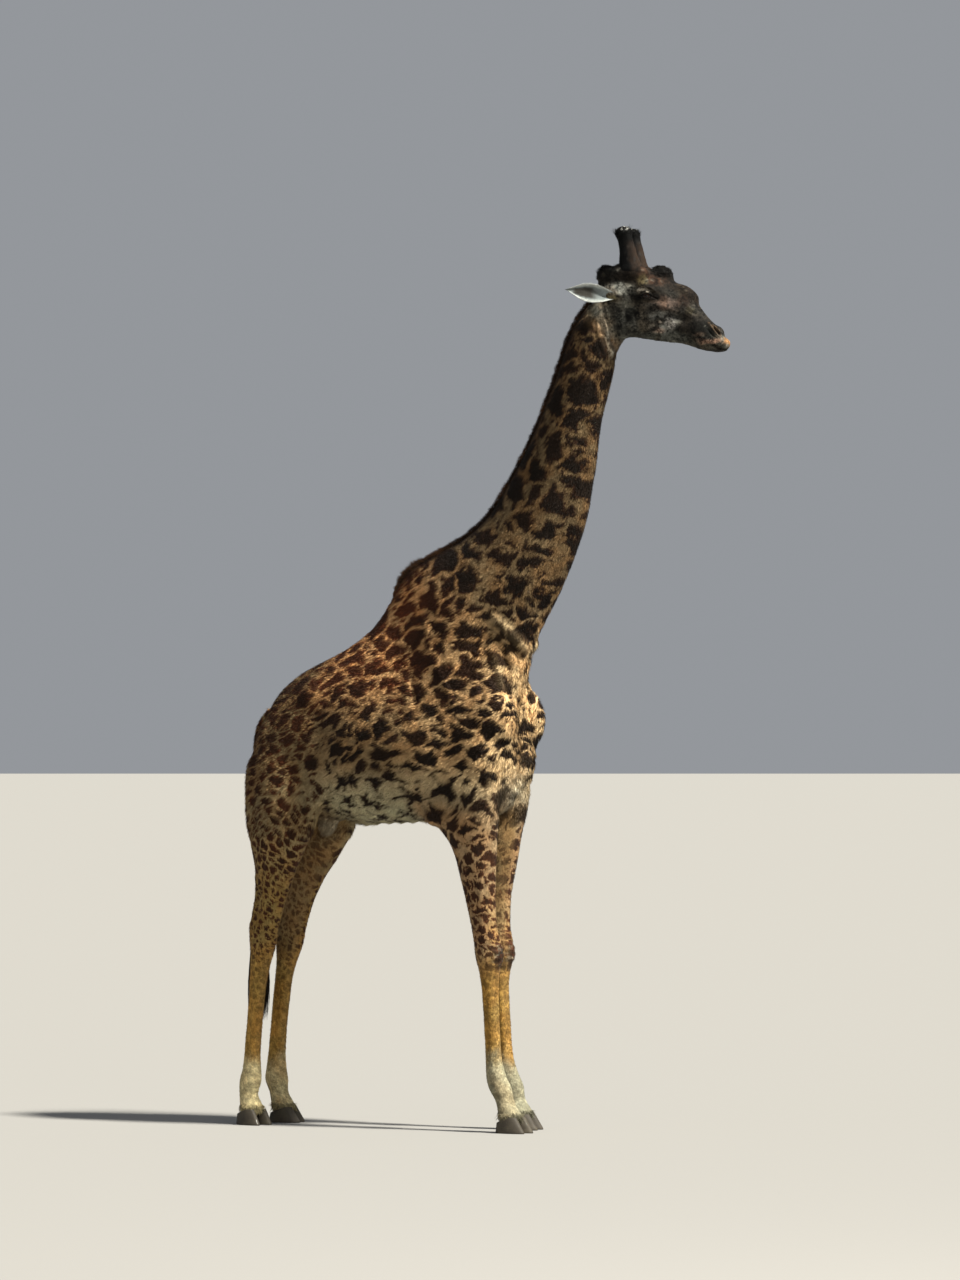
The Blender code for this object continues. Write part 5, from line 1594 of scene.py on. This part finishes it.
def makeEyes():
    # balls: centre + radius (sin a cos b, sin a sin b, cos a) about the outward axis
    made, radius = eyeMaterial(), eyes["radius"]
    a = np.linspace(0.02, math.pi - 0.02, 33)[:, None]
    b = np.arange(40)[None] / 40 * math.tau
    local = joined(np.sin(a) * np.cos(b), np.sin(a) * np.sin(b), np.cos(a) + 0 * b)
    bulge = radius * (1 + 0.035 * np.exp(-((a / 0.55) ** 2)))[..., None]
    for side, name in sides.items():
        middle, outward, forward, upward = eyeFrame(side)
        axes = np.stack([forward, upward, outward])
        grid = middle + (local * bulge) @ axes
        ball = gridObject(f"eye_ball_{name}", [pose(grid.reshape(-1, 3)).reshape(grid.shape)])
        centre, ends = pose(middle[None]), pose(middle + axes * radius)
        addAttribute(ball.data, "look", (pointsOf(ball.data) - centre) @ (ends - centre).T / radius**2)
        settle(ball, made, "eye", f"eye_{name}")


makeEyes()


# long hair and horns
def hairMaterial(name, rootColour, tipColour, roughness=0.55):
    # darker at the root; each strand has its own tone
    made, flow = newMaterial(name, roughness, 0.12)
    mottle = flow.add("TexCoord", {}, {}, 3).noise(9, 2, 0.6)
    tone = flow.attribute("tone", 2) * (0.75 + mottle * 0.5)
    flow.mix(rootColour, tipColour, flow.attribute("climb", 2)).scaled(tone).plug("Base Color")
    (roughness - 0.08 + mottle * 0.16).plug("Roughness")
    return made


def hairDress(rows, tone):
    # per corner: how far up its strand it is, and its strand's tone
    climb = np.append(np.repeat(np.linspace(0, 1, rows)[:-1], 3), 1)

    def dress(mesh, corners):
        addAttribute(mesh, "climb", np.tile(climb, len(tone)))
        addAttribute(mesh, "tone", np.repeat(tone, corners))

    return dress


def bentPath(root, toward, length, bend, rows):
    # root + length (toward s + bend s^2) at s from 0 to 1
    s = np.linspace(0, 1, rows)[None, :, None]
    return root[:, None] + length[:, None, None] * (toward[:, None] * s + bend[:, None] * s * s)


maneHair = hairMaterial("maneHair", (0.014, 0.008, 0.004), (0.062, 0.028, 0.012))
tasselHair = hairMaterial("tasselHair", (0.01, 0.008, 0.006), (0.016, 0.012, 0.009), 0.42)
lashHair = hairMaterial("lashHair", (0.006, 0.005, 0.004), (0.012, 0.01, 0.008), 0.5)
maneSettings = dict(count=12000, length=0.036, halfWidth=0.026, startRow=9)


def makeMane():
    # stiff short strands on the crest from the withers to the poll, leaning back along it
    s = maneSettings
    count = s["count"]
    crest = np.vstack([throughRows(bodyRows[s["startRow"] :, :2], 8), [[0.66, 4.625], [0.695, 4.675]]])
    steps = np.append(0, np.cumsum(norm(np.diff(crest, axis=0), axis=1)))

    def onCrest(far):
        x, z = (np.interp(far, steps, line) for line in crest.T)
        return joined(x, 0 * far, z)

    share = np.sort((np.arange(count) + rng.random(count)) / count)
    far = share * steps[-1]
    ahead = unit(onCrest(far + 0.02) - onCrest(far - 0.02) + 1e-9)
    out = joined(-ahead[:, 2], 0 * far, ahead[:, 0])
    aside = rng.normal(size=count).clip(-2, 2) / 2
    across = np.array([0, 1, 0])
    half = s["halfWidth"] * np.interp(share, [0, 0.12, 0.9, 1], [0.45, 1, 1, 0.7])
    sink = 0.008 + 0.028 * np.abs(aside) ** 2 * half / s["halfWidth"]
    root = onCrest(far) + across * (aside * half)[:, None] - out * sink[:, None]
    fade = np.interp(share, [0, 0.03, 0.08, 0.16, 0.93, 1], [0.15, 1, 1.35, 1, 1, 0.75])
    fade = fade * (0.8 + 0.3 * lumps(root, 0.05, 31) + 0.12 * lumps(root, 0.014, 32))
    fade = fade * (1 + fall(share, 0.1, 0.2) * 0.9 * lumps(root, 0.022, 34))
    length = s["length"] * fade * draw(0.7, 1.12, count) * (1 - 0.25 * np.abs(aside)) + sink * 0.8
    toward = out - ahead * draw(0.05, 0.5, (count, 1)) + across * (aside * 0.3)[:, None]
    toward = unit(toward + 0.1 * rng.normal(size=root.shape))
    path = bentPath(root, toward, length, -ahead * 0.16, 4)
    width = np.array([0.0019, 0.0017, 0.0012, 0]) * draw(0.7, 1.3, (count, 1))
    where = joined(0.5 + aside * 0.3, 0.01 + share * 0.98)
    lighter = 0.4 + 0.9 * ramp(lumps(root * (1, 0.2, 1), 0.09, 33), 0, 0.5) + draw(-0.25, 0.35, count)
    lighter = lighter + 2.2 * fall(share, 0.05, 0.3) * rng.random(count)
    mane = strandPiece("mane_hair", maneHair, "mane", path, np.tile(across, (count, 1)), width, where,
                       hairDress(4, lighter))
    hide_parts("mane")


makeMane()
knobSettings = dict(count=5600, length=0.013, lift=38)
coronetSettings = dict(count=6400, length=0.026, low=0.066, high=0.112)
down = np.array([0, 0, -1])


def strandsFrom(at, out, lie, length, lift, rows=3):
    # root + length (lie cos lift + out sin lift), sunk a little at the root and drooping along the lie
    toward = lie * np.cos(lift)[:, None] + out * np.sin(lift)[:, None]
    return bentPath(at - 0.001 * out, toward, length, (lie - out) * 0.12, rows)


def makeKnobHair():
    # ragged black hair off the forehead's and the poll's knobs, in clumps
    count = knobSettings["count"]
    at, out = scatter(*skinSurface, count, lambda p, n: (
        knobShare(p) * ramp(lumps(p, 0.018, 35), -0.5, 0.3) * (p[:, 2] > 4.69)))
    lie = unit(lieOfCoat(at, out) + 0.8 * joined(*(lumps(at, 0.022, 36 + k, 1) for k in range(3))))
    length = knobSettings["length"] * (0.55 + 0.75 * ramp(lumps(at, 0.02, 35), -0.3, 0.5))
    length = length * draw(0.6, 1.3, count)
    lift = np.radians(knobSettings["lift"] * draw(0.4, 1.6, count))
    width = np.array([0.0011, 0.0009, 0]) * draw(0.7, 1.4, (count, 1))
    path = strandsFrom(at, out, lie, length, lift)
    strandPiece("knob_hair", knobHair, "coat", path, np.cross(out, lie), width, unwrap("coat_head", at),
                hairDress(3, draw(0.6, 1.5, count)))


def makeCoronetHair():
    # pale hair hanging over the top of each hoof
    s = coronetSettings
    count = s["count"]
    at, out = scatter(*skinSurface, count, lambda p, n: (
        (p[:, 2] > s["low"]) * (p[:, 2] < s["high"]) * (np.abs(n[:, 2]) < 0.8)))
    lie = hanging(down, out, 0.3)
    length = s["length"] * draw(0.5, 1.3, count)
    lift = np.radians(draw(8, 34, count))
    width = np.array([0.0013, 0.0011, 0]) * draw(0.7, 1.4, (count, 1))
    where = np.where(at[:, :1] > -0.7, unwrap("coat_forelegs", at), unwrap("coat_hindlegs", at) + (0, 0.5))
    tone = rootToTip(draw(0.7, 1.15, count), 0.85, 1.15, 7)
    path = strandsFrom(at, out, lie, length, lift)
    strandPiece("coronet_hair", coatHair, "coat", path, np.cross(out, lie), width, where,
                lambda mesh, corners: dressMesh(mesh, at + (0, 0, 0.07), out, corners, tone))


knobHair = hairMaterial("knobHair", (0.003, 0.003, 0.003), (0.007, 0.006, 0.005), 0.7)
makeKnobHair()
makeCoronetHair()


def tubeRows(path, radii, ring, perSpan, flatten=1):
    # round rings across a smooth path: point + radius (side cos t + over sin t)
    keys = throughRows(np.column_stack([path, radii]), perSpan)
    centre, radius = keys[:, :3], keys[:, 3]
    ahead = unit(np.gradient(centre, axis=0))
    side = unit(np.cross(ahead, np.array([0, 1, 0]) + 1e-6))
    over = np.cross(side, ahead)
    t = np.arange(ring) / ring * math.tau
    ringed = side[:, None] * np.cos(t)[None, :, None] + over[:, None] * np.sin(t)[None, :, None] * flatten
    return centre[:, None] + ringed * radius[:, None, None]


tailPath = [(-1.36, 2.31), (-1.43, 2.22), (-1.462, 2.05), (-1.462, 1.75), (-1.455, 1.45), (-1.452, 1.22)]
tailRadii = [0.04, 0.036, 0.028, 0.021, 0.017, 0.014]
tailSettings = dict(fur=5200, tassel=1500, tasselRows=9)


def makeTailCore():
    # a tapering tube in the coat's colours, with short hair lying down it
    path = np.array([(x, 0, z) for x, z in tailPath])
    tail = gridObject("tail_core", [tubeRows(path, tailRadii, 20, 10)])
    places = pointsOf(tail.data)
    places += (0.0018 * lumps(places, 0.03, 12))[:, None] * normalsOf(tail.data)
    setPoints(tail.data, places)
    normals = normalsOf(tail.data)
    dressMesh(tail.data, places, normals)
    setPoints(tail.data, pose(places))
    settle(tail, coat, "coat", "tail")
    count = tailSettings["fur"]
    at, out = scatter(tail.data, places, normals, count)
    lie = hanging(down, out, 0.15)
    strands = shortStrands(at, out, lie, draw(0.014, 0.03, count), 0.96, 0.22)
    where = joined(aroundAxis(at[:, 1], at[:, 0] + 1.45), (at[:, 2] - 1.1) / 1.3)
    furPiece("tail_fur", coatHair, "coat", strands, out, lie, (0.0012, 0.0019), where, lambda mesh, corners: (
        dressMesh(mesh, at, out, corners, rootToTip(draw(0.85, 1.1, count), 0.86, 1.1))))


def makeTassel():
    # long hair from the tail's end: centre(z) + spread(z) in each strand's own direction, waving a little
    count, rows = tailSettings["tassel"], tailSettings["tasselRows"]
    start = draw(0, 1, count) ** 0.8
    turn = draw(0, math.tau, count)
    cosine, sine, zero = np.cos(turn), np.sin(turn), 0 * turn
    root = joined(-1.452 + zero, zero, 1.3 - 0.18 * start)
    root = root + joined(cosine, sine, zero) * 0.009
    s = np.linspace(0, 1, rows)[None, :]
    ends = draw(0.6, 0.95, count)
    ends = np.where(rng.random(count) < 0.45, draw(0.565, 0.68, count), ends)
    z = root[:, 2:3] + (ends[:, None] - root[:, 2:3]) * s
    spread = np.interp(z, [0.56, 0.66, 0.8, 1.05, 1.25, 1.35], [0.046, 0.056, 0.06, 0.04, 0.018, 0.01])
    out = spread * np.sqrt(draw(0.05, 1, (count, 1)))
    wave = 0.006 * np.sin(s * draw(3, 7, (count, 1)) + draw(0, 6.28, (count, 1))) * s
    centre = np.interp(z, [0.6, 0.92, 1.22], [-1.457, -1.454, -1.452])
    path = joined(centre + cosine[:, None] * out + wave, sine[:, None] * out + wave * 0.7, z)
    width = np.interp(s, [0, 0.2, 0.8, 1], [0.0017, 0.0024, 0.0017, 0]) * draw(0.7, 1.4, (count, 1))
    where = joined(turn / math.tau, (root[:, 2] - 1) / 0.4)
    across = joined(-sine, cosine, zero)
    tassel = strandPiece("tail_tassel_hair", tasselHair, "tassel", path, across, width, where,
                         hairDress(rows, draw(0.7, 1.4, count)))
    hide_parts("tail_tassel")


makeTailCore()
makeTassel()
print("tail made")

hornShape = dict(
    base=(0.872, 0.078, 4.745),
    tip=(0.832, 0.104, 4.972),
    bow=0.008,
    # how far up the horn, and its radius there
    radii=[(-0.14, 0.045), (0, 0.07), (0.18, 0.059), (0.45, 0.047), (0.72, 0.042), (0.88, 0.045),
              (0.97, 0.04), (1.02, 0.026), (1.045, 0.01)],
    flatten=0.8,
    strands=4200,
)


def hornMaterial():
    # grainy skin in the colours that the mesh carries
    made, flow = newMaterial("hornSkin", 0.8, 0.08)
    place = flow.add("TexCoord", {}, {}, 3)
    grain = place.stretched(1, 1, 0.25).noise(140, 4, 0.65)
    mottle = place.noise(26, 3, 0.6)
    shade = (0.55 + grain * 0.45 + mottle * 0.45) * flow.attribute("tone", 2)
    flow.attribute("ground").scaled(shade).plug("Base Color")
    (0.6 + grain * 0.3).plug("Roughness")
    (grain + mottle * 0.6).bump(0.8, 0.003).plug("Normal")
    return made


hornSkin = hornMaterial()


def dressPlain(mesh, colours, tone):
    # writes what the horns' and ears' material reads
    addAttribute(mesh, "ground", opaque(colours))
    addAttribute(mesh, "tone", tone)


def settlePlain(obj, points, colours, slotName, node):
    # a horn or an ear, coloured and brought to its posed place
    dressPlain(obj.data, colours, np.ones(len(colours)))
    setPoints(obj.data, pose(points))
    settle(obj, hornSkin, slotName, node)


def furDress(colours, lightest):
    # each strand in the colour under its root, paler at the tip
    def dress(mesh, corners):
        tone = rootToTip(draw(0.85, lightest, len(colours)), 0.9, 1.2, corners)
        dressPlain(mesh, np.repeat(colours, corners, axis=0), tone)

    return dress


def hornLine(side):
    # the horn's root, its line to the tip, and how far up that line points lie
    base, tip = (np.array(hornShape[key]) * (1, side, 1) for key in ("base", "tip"))
    line = tip - base
    return base, line, lambda points: (points - base) @ line / (line @ line)


def hornColours(points, normals, side):
    # brown in front as painted sunlight, grey-brown behind, black in a ring under the paler crown
    share = hornLine(side)[2](points)
    front = ramp(normals[:, 0] + 0.35 * lumps(points, 0.03, 72), -0.1, 0.8) * fall(share, 0.35, 0.8)
    return towards(
        (0.0034, 0.0034, 0.0036) + 0 * points,
        ((0.026, 0.0165, 0.0115), front * 0.95),
        ((0.026, 0.023, 0.021), ramp(lumps(points * (1, 1, 0.5), 0.018, 73), 0.25, 0.6) * 0.8),
        ((0.003, 0.003, 0.003), ramp(share + 0.09 * lumps(points, 0.02, 71), 0.62, 0.8)),
        ((0.3, 0.3, 0.28), ramp(lumps(points, 0.009, 74, 1), 0.15, 0.5) * ramp(share, 0.9, 0.97)),
    )


def makeHorns():
    # a bowed, flattened tube: centre = base + (tip - base) s + bow sin(pi s), rings scaled sideways
    for side, name in sides.items():
        base, line, upHorn = hornLine(side)
        share, radii = np.array(hornShape["radii"]).T
        centre = base + line * share[:, None]
        centre[:, 0] += hornShape["bow"] * np.sin(math.pi * share.clip(0, 1))
        centre[0] = (base[0], 0.9 * base[1], base[2] - 0.03)
        horn = gridObject(f"horn_{name}", [tubeRows(centre, radii, 44, 9, hornShape["flatten"])])
        points, normals = pointsOf(horn.data), normalsOf(horn.data)
        grain = lumps(points * (1, 1, 0.35), 0.016, 14) * 0.0016 + lumps(points, 0.045, 15) * 0.003
        knob = np.exp(-(((upHorn(points) - 0.86) / 0.07) ** 2)) * (0.6 + 0.4 * lumps(points, 0.02, 16))
        points = points + (grain + 0.0035 * knob - 0.002)[:, None] * normals
        setPoints(horn.data, points)
        normals = normalsOf(horn.data)
        settlePlain(horn, points, hornColours(points, normals, side), "horn", f"ossicone_{name}")

        count = hornShape["strands"]
        at, out = scatter(horn.data, points, normals, count, lambda p, n: (
            (upHorn(p) < 0.97) & (p[:, 2] > 4.73)))
        share = upHorn(at)
        ringed = np.exp(-(((share - 0.9) / 0.09) ** 2)) * (0.75 + 0.6 * lumps(at, 0.018, 75, 1))
        lie = hanging(unit(line), out, 0.25)
        length = (0.008 + 0.018 * ringed) * draw(0.6, 1.3, count)
        lift = np.radians(14 + 22 * ringed * draw(0.3, 1.4, count))[:, None]
        strands = shortStrands(at, out, lie, length, np.cos(lift), np.sin(lift))
        x, y, _ = (at - base).T
        where = joined(aroundAxis(y, x), share.clip(0, 1))
        # the fur takes the horn's colours, with their painted sunlight in front
        furPiece(f"horn_fur_{name}", hornSkin, "horn", strands, out, lie, (0.0007, 0.0013), where,
                 furDress(hornColours(at, out, side), 1.35))


makeHorns()

earShape = dict(
    root=(0.764, 0.098, 4.602),
    tip=(0.548, 0.235, 4.632),
    width=0.097,
    thickness=0.0055,
    cup=0.034,
    strands=6500,
)


def earFrame(side):
    # root and tip, and unit vectors along the ear, up it and out of its cup
    root, tip = (np.array(earShape[key]) * (1, side, 1) for key in ("root", "tip"))
    along = unit(tip - root)
    up = unit(-down - along * along[2])
    facing = np.cross(along, up)
    return root, tip, along, up, facing if facing[1] * side >= 0 else -facing


def earHalf(t):
    # half the ear's width: narrow at the root, widest at a third, a point at the tip
    swell = 0.22 + 0.8 * np.sin(math.pi * np.clip(0.87 * t + 0.11, 0, 1))
    return earShape["width"] / 2 * swell * (1 - 0.9 * t**6)


def earGrid(side):
    # a leaf: root to tip along t, half(t) s across, cupped by cup (1 - 0.8 t) (s^2 - 0.5); each ring runs
    # out along its back and returns along its cupped inside
    root, tip, _, up, facing = earFrame(side)
    t = np.linspace(-0.11, 0.995, 42)[:, None]
    turn = np.arange(48)[None] / 48 * math.tau
    s, t = np.broadcast_arrays(np.cos(turn), t)
    cup = earShape["cup"] * (1 - 0.8 * t) * (s * s - 0.5)
    leaf = root + (tip - root) * t[..., None] + up * (s * earHalf(t))[..., None] + facing * cup[..., None]
    return leaf + facing * (np.sin(turn) * earShape["thickness"] * (1 - 0.6 * t))[..., None] * 0.5


def earColours(points, normals, side):
    # pale, lighter at the rims, dark in the cup and grey behind the root; t along the ear, s across it
    root, tip, along, up, facing = earFrame(side)
    away = points - root
    t = (away @ along) / norm(tip - root)
    s = np.abs(away @ up) / np.maximum(earHalf(np.clip(t, 0, 1)), 0.012)
    inside = ramp(normals @ facing, -0.2, 0.3)
    middle = fall(s + 0.15 * lumps(points, 0.02, 82), 0.42, 0.74)
    made = towards(
        (0.22, 0.25, 0.25) + 0 * points,
        ((0.46, 0.48, 0.46), ramp(s, 0.6, 0.95)),
        ((0.04, 0.038, 0.033), inside * middle * ramp(t, 0.16, 0.46) * fall(t, 0.75, 0.97)),
        ((0.08, 0.072, 0.055), (1 - inside) * fall(t, 0.02, 0.3)),
        ((0.1, 0.1, 0.09), ramp(t, 0.86, 1) * 0.5),
    )
    return made * (1 + 0.2 * lumps(points, 0.02, 81)[:, None])


def makeEars():
    # a leaf for each ear, with short fur along it that turns out over the rims
    for side, name in sides.items():
        root, _, along, up, facing = earFrame(side)
        ear = gridObject(f"ear_leaf_{name}", [earGrid(side)])
        points, normals = pointsOf(ear.data), normalsOf(ear.data)
        settlePlain(ear, points, earColours(points, normals, side), "ear", f"ear_{name}")

        count = earShape["strands"]
        at, out = scatter(ear.data, points, normals, count)
        s = (at - root) @ up
        edge = ramp(np.abs(s) / 0.048, 0.6, 1)
        lie = unit(along + up * (np.sign(s) * (0.25 + 0.5 * edge))[:, None] + 0.2 * rng.normal(size=at.shape))
        lie = unit(lie - out * np.sum(lie * out, axis=1, keepdims=True) * 0.9)
        length = (0.008 + 0.007 * edge) * draw(0.6, 1.3, count)
        strands = shortStrands(at, out, lie, length, 0.97, 0.22, 0.0008)
        page = np.where(out @ facing > 0, 0.01, 0.51)  # its two faces lie side by side on the map
        where = joined((s / 0.11 + 0.5) * 0.48 + page, (at - root) @ along / 0.25)
        furPiece(f"ear_fur_{name}", hornSkin, "ear", strands, out, lie, (0.0006, 0.0011), where,
                 furDress(earColours(at, out, side), 1.3))


makeEars()

lashSettings = dict(count=90, upperShare=0.72, upperLength=(0.014, 0.02), lowerLength=(0.005, 0.009))


def makeLashes():
    # a row of curved lashes along the upper lid's edge, and a few short ones below
    count = lashSettings["count"]
    for side, name in sides.items():
        centre, outward, forward, upward = eyeFrame(side)
        a = np.sort(draw(-0.85, 0.85, count))
        isUpper = rng.random(count) < lashSettings["upperShare"]
        tilt, high, low = lidEdges(a / eyes["halfLength"])
        b = tilt + np.where(isUpper, high, low)
        out = np.sqrt(np.clip(1 - a * a - b * b, 0.05, 1))
        ball = a[:, None] * forward + b[:, None] * upward + out[:, None] * outward
        root = centre + ball * (eyes["radius"] + 0.0022)
        curl = upward * np.where(isUpper, 0.35, -0.35)[:, None]
        toward = unit(ball * 0.8 + forward * (a * 0.8)[:, None] - curl + 0.1 * rng.normal(size=ball.shape))
        long, short = (draw(*lashSettings[key], count) for key in ("upperLength", "lowerLength"))
        path = bentPath(root, toward, np.where(isUpper, long, short), curl, 5)
        width = np.array([0.00055, 0.0005, 0.0004, 0.0003, 0]) * np.ones((count, 1))
        strandPiece(f"lashes_{name}", lashHair, "coat", path, np.tile(forward, (count, 1)), width,
                    joined(a / 2 + 0.5, b / 2 + 0.5), hairDress(5, np.ones(count)))


makeLashes()
print("head's pieces made")

# camera, floor and light
stageSettings = dict(
    distance=38,
    yaw=math.radians(27),
    height=2.44,
    lens=192.8,  # mm on a 36 mm film
    aside=-0.0499,
    pitch=math.radians(0.418),
    floorHalf=400,
)


def makeCamera():
    # stands level with the body's middle, far away, looking a little up from the animal's right front
    s = stageSettings
    cosine, sine = math.cos(s["yaw"]), math.sin(s["yaw"])
    side, back = np.array([cosine, sine, 0]), np.array([sine, -cosine, 0])
    camera = bpy.data.cameras.new("camera")
    camera.sensor_fit = "VERTICAL"
    camera.sensor_width = camera.sensor_height = 36
    camera.lens = s["lens"]
    camera.clip_end = 200
    holder = sceneObject("camera", camera)
    holder.location = back * s["distance"] + side * s["aside"] + (placing["shift"][0], 0, s["height"])
    aim = -back * math.cos(s["pitch"]) + (0, 0, math.sin(s["pitch"]))
    holder.rotation_mode = "QUATERNION"
    holder.rotation_quaternion = Vector(aim).to_track_quat("-Z", "Y")
    bpy.context.scene.camera = holder


def addLight(name, kind, back, strength, colour, place=(0, 0, 0), **settings):
    # back points from what it lights towards the light
    light = bpy.data.lights.new(name, kind)
    for key, value in {"energy": strength, "color": colour, **settings}.items():
        setattr(light, key, value)
    holder = sceneObject(name, light)
    holder.location = place
    holder.rotation_euler = Vector(back).to_track_quat("Z", "Y").to_euler()


def makeStage():
    s = stageSettings["floorHalf"]
    corners = [(-s, -s, 0), (s, -s, 0), (s, s, 0), (-s, s, 0)]
    floor = meshObject("floor", corners, [(0, 1, 2, 3)])
    pale, _ = newMaterial("paleFloor", 0.9, 0.5, {"Base Color": (0.23, 0.225, 0.215, 1)})
    floor.data.materials.append(pale)
    world = bpy.data.worlds.new("studio")
    bpy.context.scene.world = world
    world.use_nodes = True
    colour, strength, *_ = world.node_tree.nodes["Background"].inputs
    colour.default_value, strength.default_value = (0.82, 0.86, 0.92, 1), 0.36
    # the sun's angle softens its shadows
    addLight("key", "SUN", (0.6, -0.06, 0.8), 11, (1, 0.96, 0.86), angle=math.radians(6))
    addLight("side", "AREA", (8, -10, 2), 160, (1, 0.92, 0.8), (8, -10, 4), shape="DISK", size=3)
    bpy.context.scene.view_settings.view_transform = "Standard"


makeCamera()
makeStage()
print("camera, floor and light placed")
